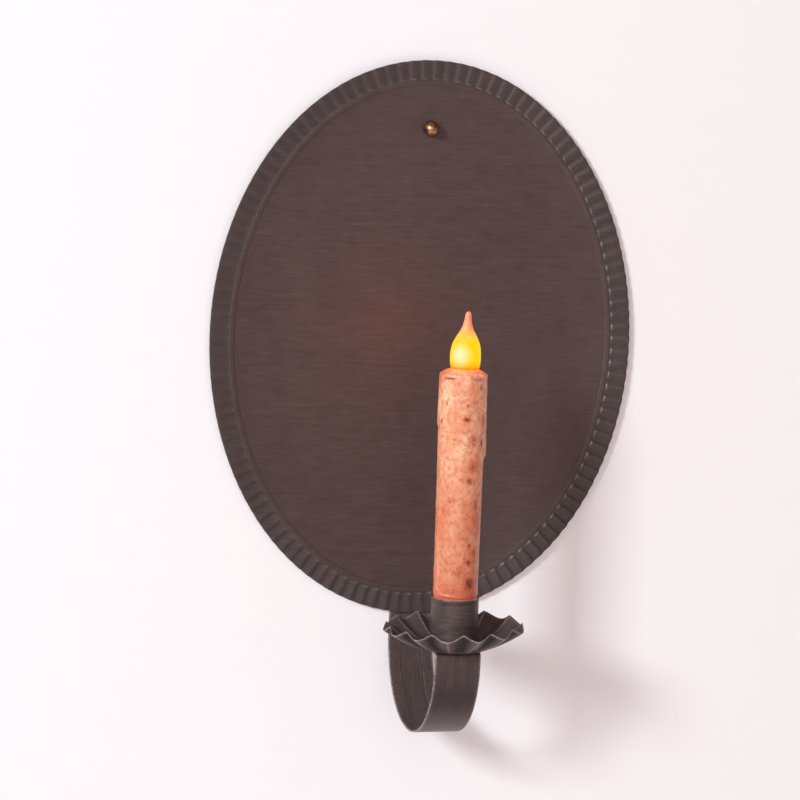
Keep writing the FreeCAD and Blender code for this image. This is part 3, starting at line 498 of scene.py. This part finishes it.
# %% Build the pan
PAN_X, PAN_Y = 0.0, (pan_low.y + pan_high.y) / 2
PAN_FLOOR = pan_low.z + SHEET
FLOOR_RADIUS, PAN_RADIUS, PAN_DEPTH = 15.4 * mm, 34 * mm, 10.6 * mm
FLUTE_DEPTH, RISE_RIGHT, RISE_BACK = 3.1 * mm, 1.2 * mm, 0.6 * mm
SLOPE_SHARE, CREST_POWER, CREST_ROUND = 0.6, 1.35, 0.006
CREST_DEGREES = [17.5, 46.5, 67, 86.5, 106, 132, 160, 184, 209.5, 234.5, 261.5, 285.5, 311.5, 344]
FLUTES, FLUTE_SAMPLES = len(CREST_DEGREES), 26
WEAR_OUTSIDE, WEAR_AND_HIGHLIGHT_INSIDE, RIM_WEAR = 0.7, 0.6, [0.1, 0.9]


def pan_skin(share, turn, phase, lift):
    """The pan's sheet: radius and height by a share from floor to rim, waved round it."""
    bend = np.sqrt(np.sin(phase / 2) ** 2 + CREST_ROUND)
    wave = 1.25 - 2 * bend ** CREST_POWER
    swing = FLUTE_DEPTH / 2 * np.maximum(share, 0) ** 1.3
    radius = FLOOR_RADIUS + (PAN_RADIUS - FLOOR_RADIUS) * share - swing * wave / 2
    rise = PAN_DEPTH * (SLOPE_SHARE * share + (1 - SLOPE_SHARE) * share ** 2)
    rise = rise + share * (RISE_RIGHT * np.cos(turn) + RISE_BACK * np.sin(turn))
    rise = np.where(share > 0, rise, 0) + swing * wave
    return np.stack([PAN_X + radius * np.cos(turn), PAN_Y + radius * np.sin(turn),
                     PAN_FLOOR + rise + lift], axis=-1)


def near_top(wave):
    """One at the top of a wave, falling to nought at nine tenths of its height."""
    return np.clip((wave - 0.9) / 0.1, 0, 1)


flute = (np.arange(FLUTES * FLUTE_SAMPLES) / FLUTE_SAMPLES)[None, :]
crests = CREST_DEGREES + [CREST_DEGREES[0] + 360]
turn = np.radians(np.interp(flute, np.arange(FLUTES + 1), crests))
phase = 2 * np.pi * flute
share = np.concatenate([[-0.7, -0.25, -0.05, 0.02], np.linspace(0.08, 0.97, 15), [1.0]])[:, None]
under, over = pan_skin(share, turn, phase, -SHEET), pan_skin(share, turn, phase, 0)
middle = (under[-1] + over[-1]) / 2
outward = np.stack([np.cos(turn[0]), np.sin(turn[0]), 0 * turn[0]], axis=-1) * SHEET * 0.3
pan_grid = np.concatenate([under, (middle + outward)[None], over[::-1]])
rim_wear = np.concatenate([np.zeros(len(share) - len(RIM_WEAR)), RIM_WEAR])[:, None]
wave, up_wall = np.cos(phase), np.clip(share * 3, 0, 1)
outer_wear = rim_wear + WEAR_OUTSIDE * near_top(-wave) * up_wall
# The inner crests: wear and painted highlights.
inner_wear_and_highlight = rim_wear + WEAR_AND_HIGHLIGHT_INSIDE * near_top(wave) * up_wall
# Painted shade on the underside under the crests.
outer_shade = np.clip((wave + 0.6) / 1.2, 0, 1) * up_wall
pan = closed_mesh("fluted_pan", pan_grid, marks={
    "wear_and_highlight": np.concatenate([outer_wear, outer_wear[-1:], inner_wear_and_highlight[::-1]]),
    "darkened": np.concatenate([outer_shade, outer_shade[-1:], np.zeros(outer_shade.shape)])})
fit(pan, pan_tin, "sconce", "tin", "drip_pan")

# %% [markdown]
# ## The candle cup
#
# The cup is a short tube of the same sheet that stands on the pan's floor. Its top edge was
# filed round and shows bright, and a dark line is painted just under it. It is an outline
# turned about the candle's axis.

# %% Build the cup
cup_low, cup_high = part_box("candle_socket")
AXIS_X, AXIS_Y = 0.0, (cup_low.y + cup_high.y) / 2
CUP_OUTER = (cup_high.x - cup_low.x) / 2
CUP_INNER = CUP_OUTER - SHEET
CUP_WEAR, UNDER_RIM_LINE = 0.8, 0.7
rim = arc(0, 180, 7)
rim_radii = CUP_OUTER - SHEET / 2 + SHEET / 2 * np.cos(rim)
rim_heights = cup_high.z - SHEET / 2 + SHEET / 2 * np.sin(rim)
steps = np.append(np.linspace(cup_low.z, cup_high.z - 2 * SHEET, 8), cup_high.z - SHEET)
cup_radii = np.concatenate([0 * steps + CUP_OUTER, rim_radii, 0 * steps + CUP_INNER])
cup_heights = np.concatenate([steps, rim_heights, steps[::-1]])
cup_wear = np.concatenate([0 * steps, 0 * rim + CUP_WEAR, 0 * steps])
cup_dark_line = np.zeros(cup_wear.size)
cup_dark_line[len(steps) - 2] = UNDER_RIM_LINE
cup = closed_mesh("candle_cup", turned_about(AXIS_X, AXIS_Y, cup_radii, cup_heights, 128),
                  wrap_rows=True, marks={"wear_and_highlight": cup_wear[:, None], "darkened": cup_dark_line[:, None]})
fit(cup, cup_tin, "sconce", "tin", "candle_socket")

# %% [markdown]
# ## The dipped wax
#
# A candle of this kind is a plastic tube dipped in wax that holds ground spice. The wax runs
# down in a few long drips, a thin lip marks where it met the cup, and its skin is lumpy. The
# grid is turned about the candle's axis, and its outer radius is the plain wax plus a bulge for
# each drip plus a little waviness. The dark marks, partly where spice gathers and partly painted
# shade under drips and on the shaded side, are a number painted on the same grid, from a short
# list of given places.

# %% The wax's drips, stains and painted shade
wax_low, wax_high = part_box("wax_coat")
tube_low, tube_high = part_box("candle_tube")
TUBE_RADIUS = (tube_high.x - tube_low.x) / 2
NECK_RADIUS = 6.1 * mm
WAX_FOOT, WAX_RADIUS = wax_low.z, 10.8 * mm
FOOT_SWELL, HEAD_SWELL, SHOULDER, CROWN = 0.05 * mm, 0.85 * mm, 1.2 * mm, 2.0 * mm
WAX_LOW, WAX_HIGH = cup_high.z + 0.3 * mm, wax_high.z - SHOULDER - CROWN
# Angle in degrees, foot, fattest place and top as shares of the height, half width in
# degrees, and swell.
DRIPS = [(-16, 0.625, 0.66, 0.98, 36, 1.0 * mm), (164, 0.765, 0.785, 0.99, 43, 0.6 * mm),
         (255, 0.80, 0.83, 1.0, 30, 0.5 * mm), (-62, 0.53, 0.56, 0.93, 22, 0.3 * mm),
         (80, 0.45, 0.48, 0.97, 34, 0.8 * mm), (120, 0.7, 0.73, 0.96, 26, 0.6 * mm)]
# Spice stains, and painted shade under drips, at the shoulder and on the shaded right side.
# Angle in degrees, share of the height, half width in degrees, half height and strength.
STAINS_AND_SHADES = [(-95, 0.812, 8, 0.009, 1.0), (-48, 0.704, 4, 0.018, 1.0), (-44, 0.80, 3, 0.03, 0.7),
          (-141, 0.992, 15, 0.005, 1.0), (-72, 0.99, 10, 0.005, 0.7), (-57, 0.953, 4, 0.008, 0.8),
          (-147, 0.877, 3, 0.010, 0.7), (-164, 0.798, 4, 0.007, 0.7), (-95, 0.875, 3, 0.006, 0.7),
          (-75, 0.715, 13, 0.03, 0.5), (-124, 0.72, 3, 0.005, 0.7), (-83, 0.534, 7, 0.014, 0.8),
          (-75, 0.60, 12, 0.025, 0.45), (-129, 0.44, 4, 0.006, 0.6), (-149, 0.40, 4, 0.010, 0.6),
          (-60, 0.43, 5, 0.02, 0.5), (-75, 0.243, 5, 0.010, 0.8), (-58, 0.21, 4, 0.02, 0.6),
          (-76, 0.167, 9, 0.012, 0.9), (-105, 0.12, 14, 0.012, 0.4), (-70, 0.071, 13, 0.026, 1.0),
          (60, 0.6, 9, 0.02, 0.7), (100, 0.8, 12, 0.015, 0.8), (150, 0.35, 10, 0.02, 0.5)]
# The lip where the wax met the cup: angles in degrees and shares of the height along it.
LIP = ([-185, -170, -150, -128, -110, -80, -60], [0.10, 0.055, 0.022, 0.014, 0.012, 0.011, 0.010])
LIP_FADE = ([-180, -172, -130, -70], [0, 1, 1, 0])
LIP_HALF, LIP_SWELL, LUMP_SWELL, FOOT_TUCK = 0.0035, 0.2 * mm, 0.09 * mm, 0.45 * mm
# Shares of the height in which the lumps grow from the foot and die at the head, and in which
# the wax draws in above the cup.
CALM_FOOT, CALM_HEAD, TUCK_HEIGHT = 0.03, 0.01, 0.022


def drip_bulge(turn, share):
    """Sum over the drips of swell, times a ramp up and down, times a squared cosine."""
    bulge = 0
    for degrees, foot, fattest, top, half_width, swell in DRIPS:
        away = np.abs((turn - np.radians(degrees) + np.pi) % (2 * np.pi) - np.pi)
        rise = np.clip((share - foot) / (fattest - foot), 0, 1)
        fall = np.clip((top - share) / (top - fattest), 0, 1)
        side = np.cos(np.clip(away / np.radians(half_width), 0, 1) * np.pi / 2) ** 2
        bulge = bulge + swell * np.minimum(np.sin(rise * np.pi / 2), fall) * side
    return bulge


def stain_and_shade_depth(turn, share):
    """The strongest of the stains and painted shades at a place, each a bell of angle and height.
    """
    depth = np.zeros(np.broadcast_shapes(turn.shape, share.shape))
    for degrees, place, half_width, half_height, strength in STAINS_AND_SHADES:
        away = (turn - np.radians(degrees) + np.pi) % (2 * np.pi) - np.pi
        bell = (away / np.radians(half_width)) ** 2 + ((share - place) / half_height) ** 2
        depth = np.maximum(depth, strength * np.exp(-bell))
    return depth

# %% Build the wax
generator = np.random.default_rng(7)
waves = [(generator.integers(1, 9), generator.uniform(15, 160), generator.uniform(0, 2 * np.pi))
         for _ in range(14)]
turn = np.linspace(0, 2 * np.pi, 192, endpoint=False)[None, :]
share = np.concatenate([np.linspace(0, 0.06, 26)[:-1], np.linspace(0.06, 1, 142)])[:, None]
lip_away = (share - np.interp(np.degrees(turn) - 360, *LIP)) / LIP_HALF
lip = np.exp(-lip_away ** 2) * np.interp(np.degrees(turn) - 360, *LIP_FADE)
lumps = sum(np.sin(count * turn + pitch * share + start) / (2 + count)
            for count, pitch, start in waves)
settle = np.clip(share / CALM_FOOT, 0, 1) * np.clip((1 - share) / CALM_HEAD, 0.3, 1)
tuck = FOOT_TUCK * np.clip(1 - share / TUCK_HEIGHT, 0, 1) ** 2
smooth = WAX_RADIUS + FOOT_SWELL + (HEAD_SWELL - FOOT_SWELL) * share ** 1.6 - tuck
outer = smooth + drip_bulge(turn, share) + LUMP_SWELL * lumps * settle + LIP_SWELL * lip
body_rows = np.broadcast_to(WAX_LOW + (WAX_HIGH - WAX_LOW) * share, outer.shape)
shoulder = arc(12, 66, 6)[:, None]
shoulder_rows = outer[-1:] - SHOULDER * (1 - np.cos(shoulder))
shoulder_heights = WAX_HIGH + SHOULDER * np.sin(shoulder) + 0.08 * mm * lumps[-1:]
inward = np.array([0.2, 0.45, 0.7, 0.9, 1.0])[:, None]
top_radii = shoulder_rows[-1:] + (NECK_RADIUS - shoulder_rows[-1:]) * inward
top_heights = shoulder_heights[-1:] + (wax_high.z - shoulder_heights[-1:]) * np.sin(inward * 1.57)
foot_radii = np.array([TUBE_RADIUS, WAX_RADIUS, WAX_RADIUS])[:, None] + 0 * turn
foot_heights = np.array([WAX_FOOT, WAX_FOOT, cup_high.z])[:, None] + 0 * turn
well_radii = np.array([NECK_RADIUS, NECK_RADIUS, TUBE_RADIUS])[:, None] + 0 * turn
well_heights = np.array([wax_high.z - 0.9 * mm, tube_high.z, tube_high.z])[:, None] + 0 * turn
radii = np.concatenate([foot_radii, outer, shoulder_rows, top_radii, well_radii])
heights = np.concatenate([foot_heights, body_rows, shoulder_heights, top_heights, well_heights])
wax_grid = np.stack([AXIS_X + radii * np.cos(turn), AXIS_Y + radii * np.sin(turn), heights], -1)
up_share = np.clip((heights - WAX_LOW) / (WAX_HIGH - WAX_LOW), 0, 1.05)
# The lip's mark, which the wax's colour paints pale as a painted highlight on the lit left side.
lip_rows = np.zeros(up_share.shape)
lip_rows[len(foot_radii):len(foot_radii) + len(outer)] = lip
wax = closed_mesh("dipped_wax", wax_grid, wrap_rows=True, sharp=np.radians(60),
                  marks={"stain_and_shade": stain_and_shade_depth(turn, up_share), "up": up_share, "lip": lip_rows})

# %% [markdown]
# ## The wax's colour
#
# Light goes a little way into wax and comes out redder, which the shader's subsurface does.
# The colour is peach, with orange and brick clouds of a few millimetres, fine red-brown
# flecks of spice, and the painted marks: spice stains and painted shade. It is deeper and
# redder near the cup.

# %% Wax material
wax_material, tree, shader = new_material("spiced wax")
place = own_place(tree)
tall = scaled(tree, place, (1.0, 1.0, 0.6))
clouds = stretch(tree, cloud(tree, tall, 130.0, 5.0, 0.6), 0.36, 0.66)
small_clouds = stretch(tree, cloud(tree, place, 420.0, 4.0, 0.6), 0.45, 0.72)
flecks = stretch(tree, cloud(tree, place, 800.0, 3.0, 0.65), 0.55, 0.68)
few = stretch(tree, cloud(tree, place, 220.0, 2.0, 0.5), 0.40, 0.62)
depth = stretch(tree, mark_of(tree, "up"), 0.35, 0.85, 1.0, 0.0)
foot = stretch(tree, mark_of(tree, "up"), 0.0, 0.10, 1.0, 0.0)
few = sum_of(tree, "ADD", few, stretch(tree, mark_of(tree, "up"), 0.0, 0.25, 0.7, 0.0))
speckled = sum_of(tree, "MULTIPLY", flecks, few)
raggedness = stretch(tree, cloud(tree, place, 600.0, 3.0, 0.6), 0.35, 0.6, 0.5, 1.2)
ragged = sum_of(tree, "MULTIPLY", mark_of(tree, "stain_and_shade"), raggedness, clamp=True)
halo, core = stretch(tree, ragged, 0.03, 0.4), stretch(tree, ragged, 0.42, 0.85)
tone = blend_of(tree, clouds, colour(250, 194, 156), colour(228, 134, 92))
# Each layer lies over the ones before it: where, how strongly, and in which colour.
# The halo and core layers are the stains and painted shade, and the lip layer a painted
# highlight.
for where, strength, shade in (
        (depth, 0.55, (200, 102, 68)), (small_clouds, 0.7, (190, 88, 56)),
        (foot, 0.75, (206, 84, 50)), (speckled, 0.8, (178, 70, 46)), (halo, 0.85, (180, 76, 46)),
        (core, 0.9, (108, 42, 34)), (mark_of(tree, "lip"), 0.3, (250, 206, 186))):
    tone = blend_of(tree, sum_of(tree, "MULTIPLY", where, strength), tone, colour(*shade))
tree.links.new(tone, shader.inputs["Base Color"])
tree.links.new(stretch(tree, small_clouds, 0.0, 1.0, 0.32, 0.5), shader.inputs["Roughness"])
bumps = sum_of(tree, "ADD", cloud(tree, place, 350.0, 4.0, 0.6),
               sum_of(tree, "MULTIPLY", cloud(tree, place, 1500.0, 2.0, 0.6), 0.25))
bump = node(tree, "Bump", {"Height": bumps, "Strength": 0.4, "Distance": 0.2 * mm})
tree.links.new(bump.outputs[0], shader.inputs["Normal"])
shader.inputs["Subsurface Weight"].default_value = 0.35
shader.inputs["Subsurface Radius"].default_value = (1.0, 0.45, 0.25)
shader.inputs["Subsurface Scale"].default_value = 2.0 * mm
fit(wax, wax_material, "candle", "wax", "wax_coat")

# %% [markdown]
# ## The flame tip
#
# The flame is a hollow silicone teardrop over a warm lamp. It is brightest where the lamp
# sits low inside it, and its thin stem stays dull and salmon. The outline is turned about the
# candle's axis, and the axis leans a little to the right towards the tip, as the moulded tip
# does. Its light is a colour that depends on height alone, plus a paler patch low on the left
# and a small shine on the stem. A camera shows that light clipped, so what the flame throws on
# the pieces round it is a second, stronger and redder colour that the camera doesn't see.

# %% Build the flame
flame_low, flame_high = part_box("flame_tip")
CANDLE_TOP = wax_high.z
FLAME_HEIGHT = flame_high.z - CANDLE_TOP
FLAME_RADIUS, FLAME_LEAN, FLAME_OFFSET = 7.5 * mm, 1.2 * mm, 0.6 * mm
NECK_OUTER, LAMP_BORE, BORE_ROOF = 6.0 * mm, 3.1 * mm, 1.6 * mm
OUTLINE_SHARES = np.array([(0.90, 0.0), (0.965, 0.06), (0.995, 0.14), (1.0, 0.22), (0.985, 0.30),
                           (0.94, 0.38), (0.86, 0.455), (0.73, 0.53), (0.59, 0.60), (0.46, 0.66),
                           (0.36, 0.72), (0.29, 0.78), (0.245, 0.84), (0.215, 0.90),
                           (0.20, 0.94), (0.17, 0.972), (0.11, 0.992), (0.045, 0.998)])
fine = np.linspace(0, 1, 60)
place_along = np.linspace(0, 1, len(OUTLINE_SHARES))
flame_radii = FLAME_RADIUS * np.interp(fine, place_along, OUTLINE_SHARES[:, 0])
flame_rise = FLAME_HEIGHT * np.interp(fine, place_along, OUTLINE_SHARES[:, 1])
neck_radii = [LAMP_BORE, LAMP_BORE, NECK_OUTER, NECK_OUTER]
neck_heights = [BORE_ROOF, flame_low.z - CANDLE_TOP, flame_low.z - CANDLE_TOP, 0.0]
flame_grid = turned_about(AXIS_X, AXIS_Y, np.concatenate([neck_radii, flame_radii]),
                          CANDLE_TOP + np.concatenate([neck_heights, flame_rise]), 72)
up = np.clip((flame_grid[..., 2] - CANDLE_TOP) / FLAME_HEIGHT, 0, 1)
flame_grid[4:, :, 0] += FLAME_OFFSET + FLAME_LEAN * np.clip(up[4:] - 0.25, 0, 1) ** 1.3
flame = closed_mesh("silicone_flame", flame_grid, marks={"up": up})

# %% Flame material
flame_material, tree, shader = new_material("lit silicone")
up = mark_of(tree, "up")
glow = node(tree, "ValToRGB", {"Fac": up})
stops = [(0.0, colour(206, 92, 2)), (0.04, colour(236, 158, 0)), (0.14, colour(240, 204, 0)),
         (0.44, colour(240, 206, 0)), (0.58, colour(232, 182, 40)), (0.72, colour(172, 96, 42)),
         (0.84, colour(116, 46, 26)), (1.0, colour(98, 52, 44))]
glow.color_ramp.elements[0].position, glow.color_ramp.elements[0].color = stops[0]
glow.color_ramp.elements[1].position, glow.color_ramp.elements[1].color = stops[-1]
for position, shade in stops[1:-1]:
    glow.color_ramp.elements.new(position).color = shade


def spot(right, ahead, rise, inside, outside, strength):
    """A round spot about a place beside the candle's axis, in millimetres, fading outwards."""
    centre = (AXIS_X + right * mm, AXIS_Y + ahead * mm, CANDLE_TOP + rise * mm)
    away = node(tree, "VectorMath", {0: own_place(tree), 1: centre}, operation="DISTANCE")
    return stretch(tree, away.outputs["Value"], inside * mm, outside * mm, strength, 0.0)


patch = sum_of(tree, "POWER", spot(-4.0, -5.5, 7, 1.0, 7.0, 0.9), 1.3)
lit = blend_of(tree, patch, glow.outputs[0], colour(248, 238, 196))
# A painted highlight on the stem, in the flame's own light.
lit = blend_of(tree, spot(-1.2, -2.8, 20, 0.6, 2.6, 0.6), lit, colour(238, 176, 130))
seen = node(tree, "LightPath").outputs["Is Camera Ray"]
THROWN_LOW, THROWN_HIGH = (7.0, 1.1, 0.1, 1.0), (0.3, 0.05, 0.02, 1.0)
thrown = blend_of(tree, stretch(tree, up, 0.55, 0.75), THROWN_LOW, THROWN_HIGH)
tree.links.new(blend_of(tree, seen, thrown, lit), shader.inputs["Emission Color"])
skin = blend_of(tree, stretch(tree, up, 0.45, 0.8), colour(140, 76, 0), colour(228, 140, 108))
grain = cloud(tree, own_place(tree), 500.0, 3.0, 0.6)
skin = blend_of(tree, stretch(tree, grain, 0.4, 0.7, 0.0, 0.12), skin, colour(255, 200, 90))
tree.links.new(skin, shader.inputs["Base Color"])
tree.links.new(stretch(tree, grain, 0.3, 0.7, 0.3, 0.45), shader.inputs["Roughness"])
shader.inputs["Emission Strength"].default_value = 1.0
shader.inputs["Specular IOR Level"].default_value = 0.1
fit(flame, flame_material, "candle", "flame", "flame_tip")

# %% [markdown]
# ## The hanging nail
#
# A brass nail with a ball head carries the sconce. Its outline is turned about the nail's own
# axis, which runs into the wall: the ball, a neck, the collar that the plate hangs on, the
# shank and its point. The old brass is darkened towards brown by soft clouds, partly tarnish
# and partly painted reflections of darker things round it.

# %% Build the nail
nail_low, nail_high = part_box("hanging_nail")
BALL = (nail_high.x - nail_low.x) / 2
BALL_MIDDLE = -4.85 * mm
# Radius and depth of the outline behind the ball, from its neck to the point.
BEHIND_BALL = np.array([(2.6, -4.05), (1.9, -3.9), (1.6, -3.8), (1.6, -0.1), (1.5, 0), (1.3, 0),
                        (1.3, 18), (0.1, 21.9)]) * mm
dome = arc(3, 98, 22)
nail_radii = np.concatenate([BALL * np.sin(dome), BEHIND_BALL[:, 0]])
nail_depths = np.concatenate([BALL_MIDDLE - BALL * np.cos(dome), BEHIND_BALL[:, 1]])
turned = turned_about(0, 0, nail_radii, nail_depths, 64)
nail = closed_mesh("brass_nail", turned[..., [0, 2, 1]])

# %% Brass material
brass, tree, shader = new_material("old brass")
tarnish_and_reflection = stretch(tree, cloud(tree, own_place(tree), 330.0, 4.0, 0.6), 0.38, 0.62)
tree.links.new(blend_of(tree, tarnish_and_reflection, colour(206, 152, 112), colour(112, 74, 50)),
               shader.inputs["Base Color"])
tree.links.new(stretch(tree, tarnish_and_reflection, 0.0, 1.0, 0.28, 0.40), shader.inputs["Roughness"])
shader.inputs["Metallic"].default_value = 1.0
fit(nail, brass, "wall_nail", "brass", "hanging_nail")

# %% [markdown]
# ## Pieces that stay as the CAD made them
#
# The solder seams and everything inside the candle have the right shape already. They only
# need a finish: plated contacts, a green board, battery sleeves and moulded plastic.

# %% Plain finishes
def plain(name, tone, second, scale, roughness, metallic=0.0, bump_depth=0.03 * mm):
    """A finish of two close tones in soft clouds, with a fine grain."""
    material, tree, shader = new_material(name)
    mixed = stretch(tree, cloud(tree, own_place(tree), scale, 4.0, 0.6), 0.35, 0.65)
    tree.links.new(blend_of(tree, mixed, tone, second), shader.inputs["Base Color"])
    tree.links.new(stretch(tree, mixed, 0, 1, roughness - 0.06, roughness + 0.06),
                   shader.inputs["Roughness"])
    grain = cloud(tree, own_place(tree), scale * 9, 2.0, 0.6)
    bump = node(tree, "Bump", {"Height": grain, "Strength": 0.4, "Distance": bump_depth})
    tree.links.new(bump.outputs[0], shader.inputs["Normal"])
    shader.inputs["Metallic"].default_value = metallic
    return material


FINISHES = {
    "solder": plain("painted solder", colour(74, 63, 60), colour(96, 84, 80), 300, 0.45,
                    metallic=0.25),
    "ivory": plain("ivory plastic", colour(236, 226, 200), colour(226, 214, 186), 160, 0.42),
    "lamp": plain("lamp resin", colour(250, 236, 190), colour(244, 224, 160), 300, 0.15),
    "board": plain("green board", colour(34, 96, 58), colour(24, 76, 46), 700, 0.35),
    "chip": plain("moulded chip", colour(30, 30, 32), colour(40, 40, 42), 900, 0.5),
    "contact": plain("plated contact", colour(205, 198, 184), colour(186, 178, 160), 260, 0.3,
                     metallic=1.0),
    "sleeve": plain("battery sleeve", colour(70, 74, 80), colour(86, 90, 96), 220, 0.32,
                    metallic=0.4),
    "black": plain("black plastic", colour(34, 34, 36), colour(44, 44, 46), 400, 0.45),
}
DRESSED = {
    "arm_solder": "solder", "pan_solder": "solder", "candle_tube": "ivory",
    "battery_cap": "ivory", "flame_lamp": "lamp", "circuit_board": "board",
    "driver_chip": "chip", "positive_contact": "contact", "negative_strip": "contact",
    "contact_spring": "contact", "battery_upper": "sleeve", "battery_lower": "sleeve",
    "switch_knob": "black",
}
for name, finish in DRESSED.items():
    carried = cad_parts[name]
    carried.data.materials.clear()
    carried.data.materials.append(FINISHES[finish])
print("dressed CAD nodes:", len(DRESSED))

# %% [markdown]
# ## The wall, the floor and the light
#
# The sconce hangs on a pale wall that turns into a pale floor well below it. Seen from
# behind, the wall would hide the sconce, so its material is clear on its rear side. What looks
# at the wall sees it a little lighter than the light makes it, as an exposure for the dark tin
# does, but the wall throws no more light for that. The light is a soft window at the upper
# left that draws the shadows, a large weak one in front, a faint one from the right, and a
# pale room around.

# %% Wall and floor
WALL_TOP, FLOOR_DROP, SWEEP, REACH, SIDE = 2.2, -1.6, 0.5, 3.2, 3.0
bend = arc(0, 90, 13)
line_y = np.concatenate([[0.0], SWEEP * (np.cos(bend) - 1), [-REACH]])
line_z = np.concatenate([[WALL_TOP], FLOOR_DROP + SWEEP * (1 - np.sin(bend)), [FLOOR_DROP]])
sides = np.linspace(-SIDE, SIDE, 2)
sheet_points = np.stack([np.broadcast_to(sides[:, None], (2, line_y.size)),
                         np.broadcast_to(line_y, (2, line_y.size)),
                         np.broadcast_to(line_z, (2, line_y.size))], axis=-1)
count = line_y.size
quads = [[k, k + 1, count + k + 1, count + k] for k in range(count - 1)]
wall_mesh = bpy.data.meshes.new("pale_wall")
wall_mesh.from_pydata(sheet_points.reshape(-1, 3).tolist(), [], quads)
wall_mesh.shade_smooth()
wall = bpy.data.objects.new("pale_wall", wall_mesh)
bpy.context.scene.collection.objects.link(wall)
print("wall faces the room:", wall_mesh.polygons[0].normal.y < 0)

# %% Wall material
WALL_LIFT = 0.16
wall_material, tree, shader = new_material("pale wall")
shader.inputs["Base Color"].default_value = (0.94, 0.872, 0.885, 1.0)
shader.inputs["Roughness"].default_value = 0.9
shader.inputs["Specular IOR Level"].default_value = 0.1
ray = node(tree, "LightPath").outputs
looked_at = sum_of(tree, "MAXIMUM", ray["Is Camera Ray"],
                   sum_of(tree, "MAXIMUM", ray["Is Glossy Ray"], ray["Is Transmission Ray"]))
pale = node(tree, "Emission", {"Color": (1.0, 0.78, 0.77, 1.0), "Strength": 1.0})
lifted = node(tree, "MixShader", {0: sum_of(tree, "MULTIPLY", looked_at, WALL_LIFT),
                                  1: shader.outputs[0], 2: pale.outputs[0]})
clear = node(tree, "BsdfTransparent")
behind = node(tree, "NewGeometry").outputs["Backfacing"]
either = node(tree, "MixShader", {0: behind, 1: lifted.outputs[0], 2: clear.outputs[0]})
tree.links.new(either.outputs[0], tree.nodes["Material Output"].inputs["Surface"])
wall_mesh.materials.append(wall_material)

# %% Lights
def soft_lamp(name, place, target, size, power, tint):
    """A square soft lamp at a place, turned towards a target."""
    data = bpy.data.lights.new(name, "AREA")
    data.shape, data.size, data.energy, data.color = "SQUARE", size, power, tint
    lamp = bpy.data.objects.new(name, data)
    back = np.array(place, float) - np.array(target, float)
    back /= np.linalg.norm(back)
    right = np.cross([0, 0, 1.0], back)
    right /= np.linalg.norm(right)
    turned = Matrix(np.stack([right, np.cross(back, right), back], axis=1).tolist()).to_4x4()
    lamp.matrix_world = Matrix.Translation(place) @ turned
    bpy.context.scene.collection.objects.link(lamp)


# Each lamp's place and size are in metres and its power in watts.
MIDDLE = (0.0, -0.03, -0.14)
soft_lamp("window", (-2.51, -2.24, 0.96), MIDDLE, 0.67, 99.0, (0.84, 1.0, 1.04))
soft_lamp("pale room in front", (-0.7, -2.9, 0.5), MIDDLE, 2.4, 24.0, (1.0, 0.89, 0.87))
soft_lamp("far side of the room", (1.8, -2.0, -0.2), MIDDLE, 1.6, 2.5, (1.0, 0.9, 0.87))
world = bpy.data.worlds.new("pale room")
world.use_nodes = True
world.node_tree.nodes["Background"].inputs["Color"].default_value = (1.0, 0.89, 0.86, 1.0)
world.node_tree.nodes["Background"].inputs["Strength"].default_value = 0.24
bpy.context.scene.world = world

# %% [markdown]
# ## The camera
#
# The photograph was taken from the left and a little above, from far away. Its place was
# found by matching the oval, the bend of the strap and the cup. The camera is written as two
# angles, a small roll, a target and a distance, and its matrix is built from its right, up
# and back directions.

# %% Camera
YAW, PITCH, ROLL = np.radians([16.24, 6.37, 2.09])
TARGET = np.array([-10.68, -3.15, -136.08]) * mm
DISTANCE, LENS = 1854 * mm, 166.5
ahead = np.array([np.sin(YAW) * np.cos(PITCH), np.cos(YAW) * np.cos(PITCH), -np.sin(PITCH)])
level = np.array([np.cos(YAW), -np.sin(YAW), 0])
upright = np.cross(level, ahead)
right = np.cos(ROLL) * level + np.sin(ROLL) * upright
up = np.cos(ROLL) * upright - np.sin(ROLL) * level
camera_data = bpy.data.cameras.new("photograph")
camera_data.lens, camera_data.sensor_width = LENS, 36
camera_data.clip_start, camera_data.clip_end = 0.05, 50
camera = bpy.data.objects.new("photograph", camera_data)
facing = Matrix(np.stack([right, up, -ahead], axis=1).tolist()).to_4x4()
camera.matrix_world = Matrix.Translation(TARGET - DISTANCE * ahead) @ facing
bpy.context.scene.collection.objects.link(camera)
bpy.context.scene.camera = camera
bpy.context.scene.view_settings.view_transform = "Standard"
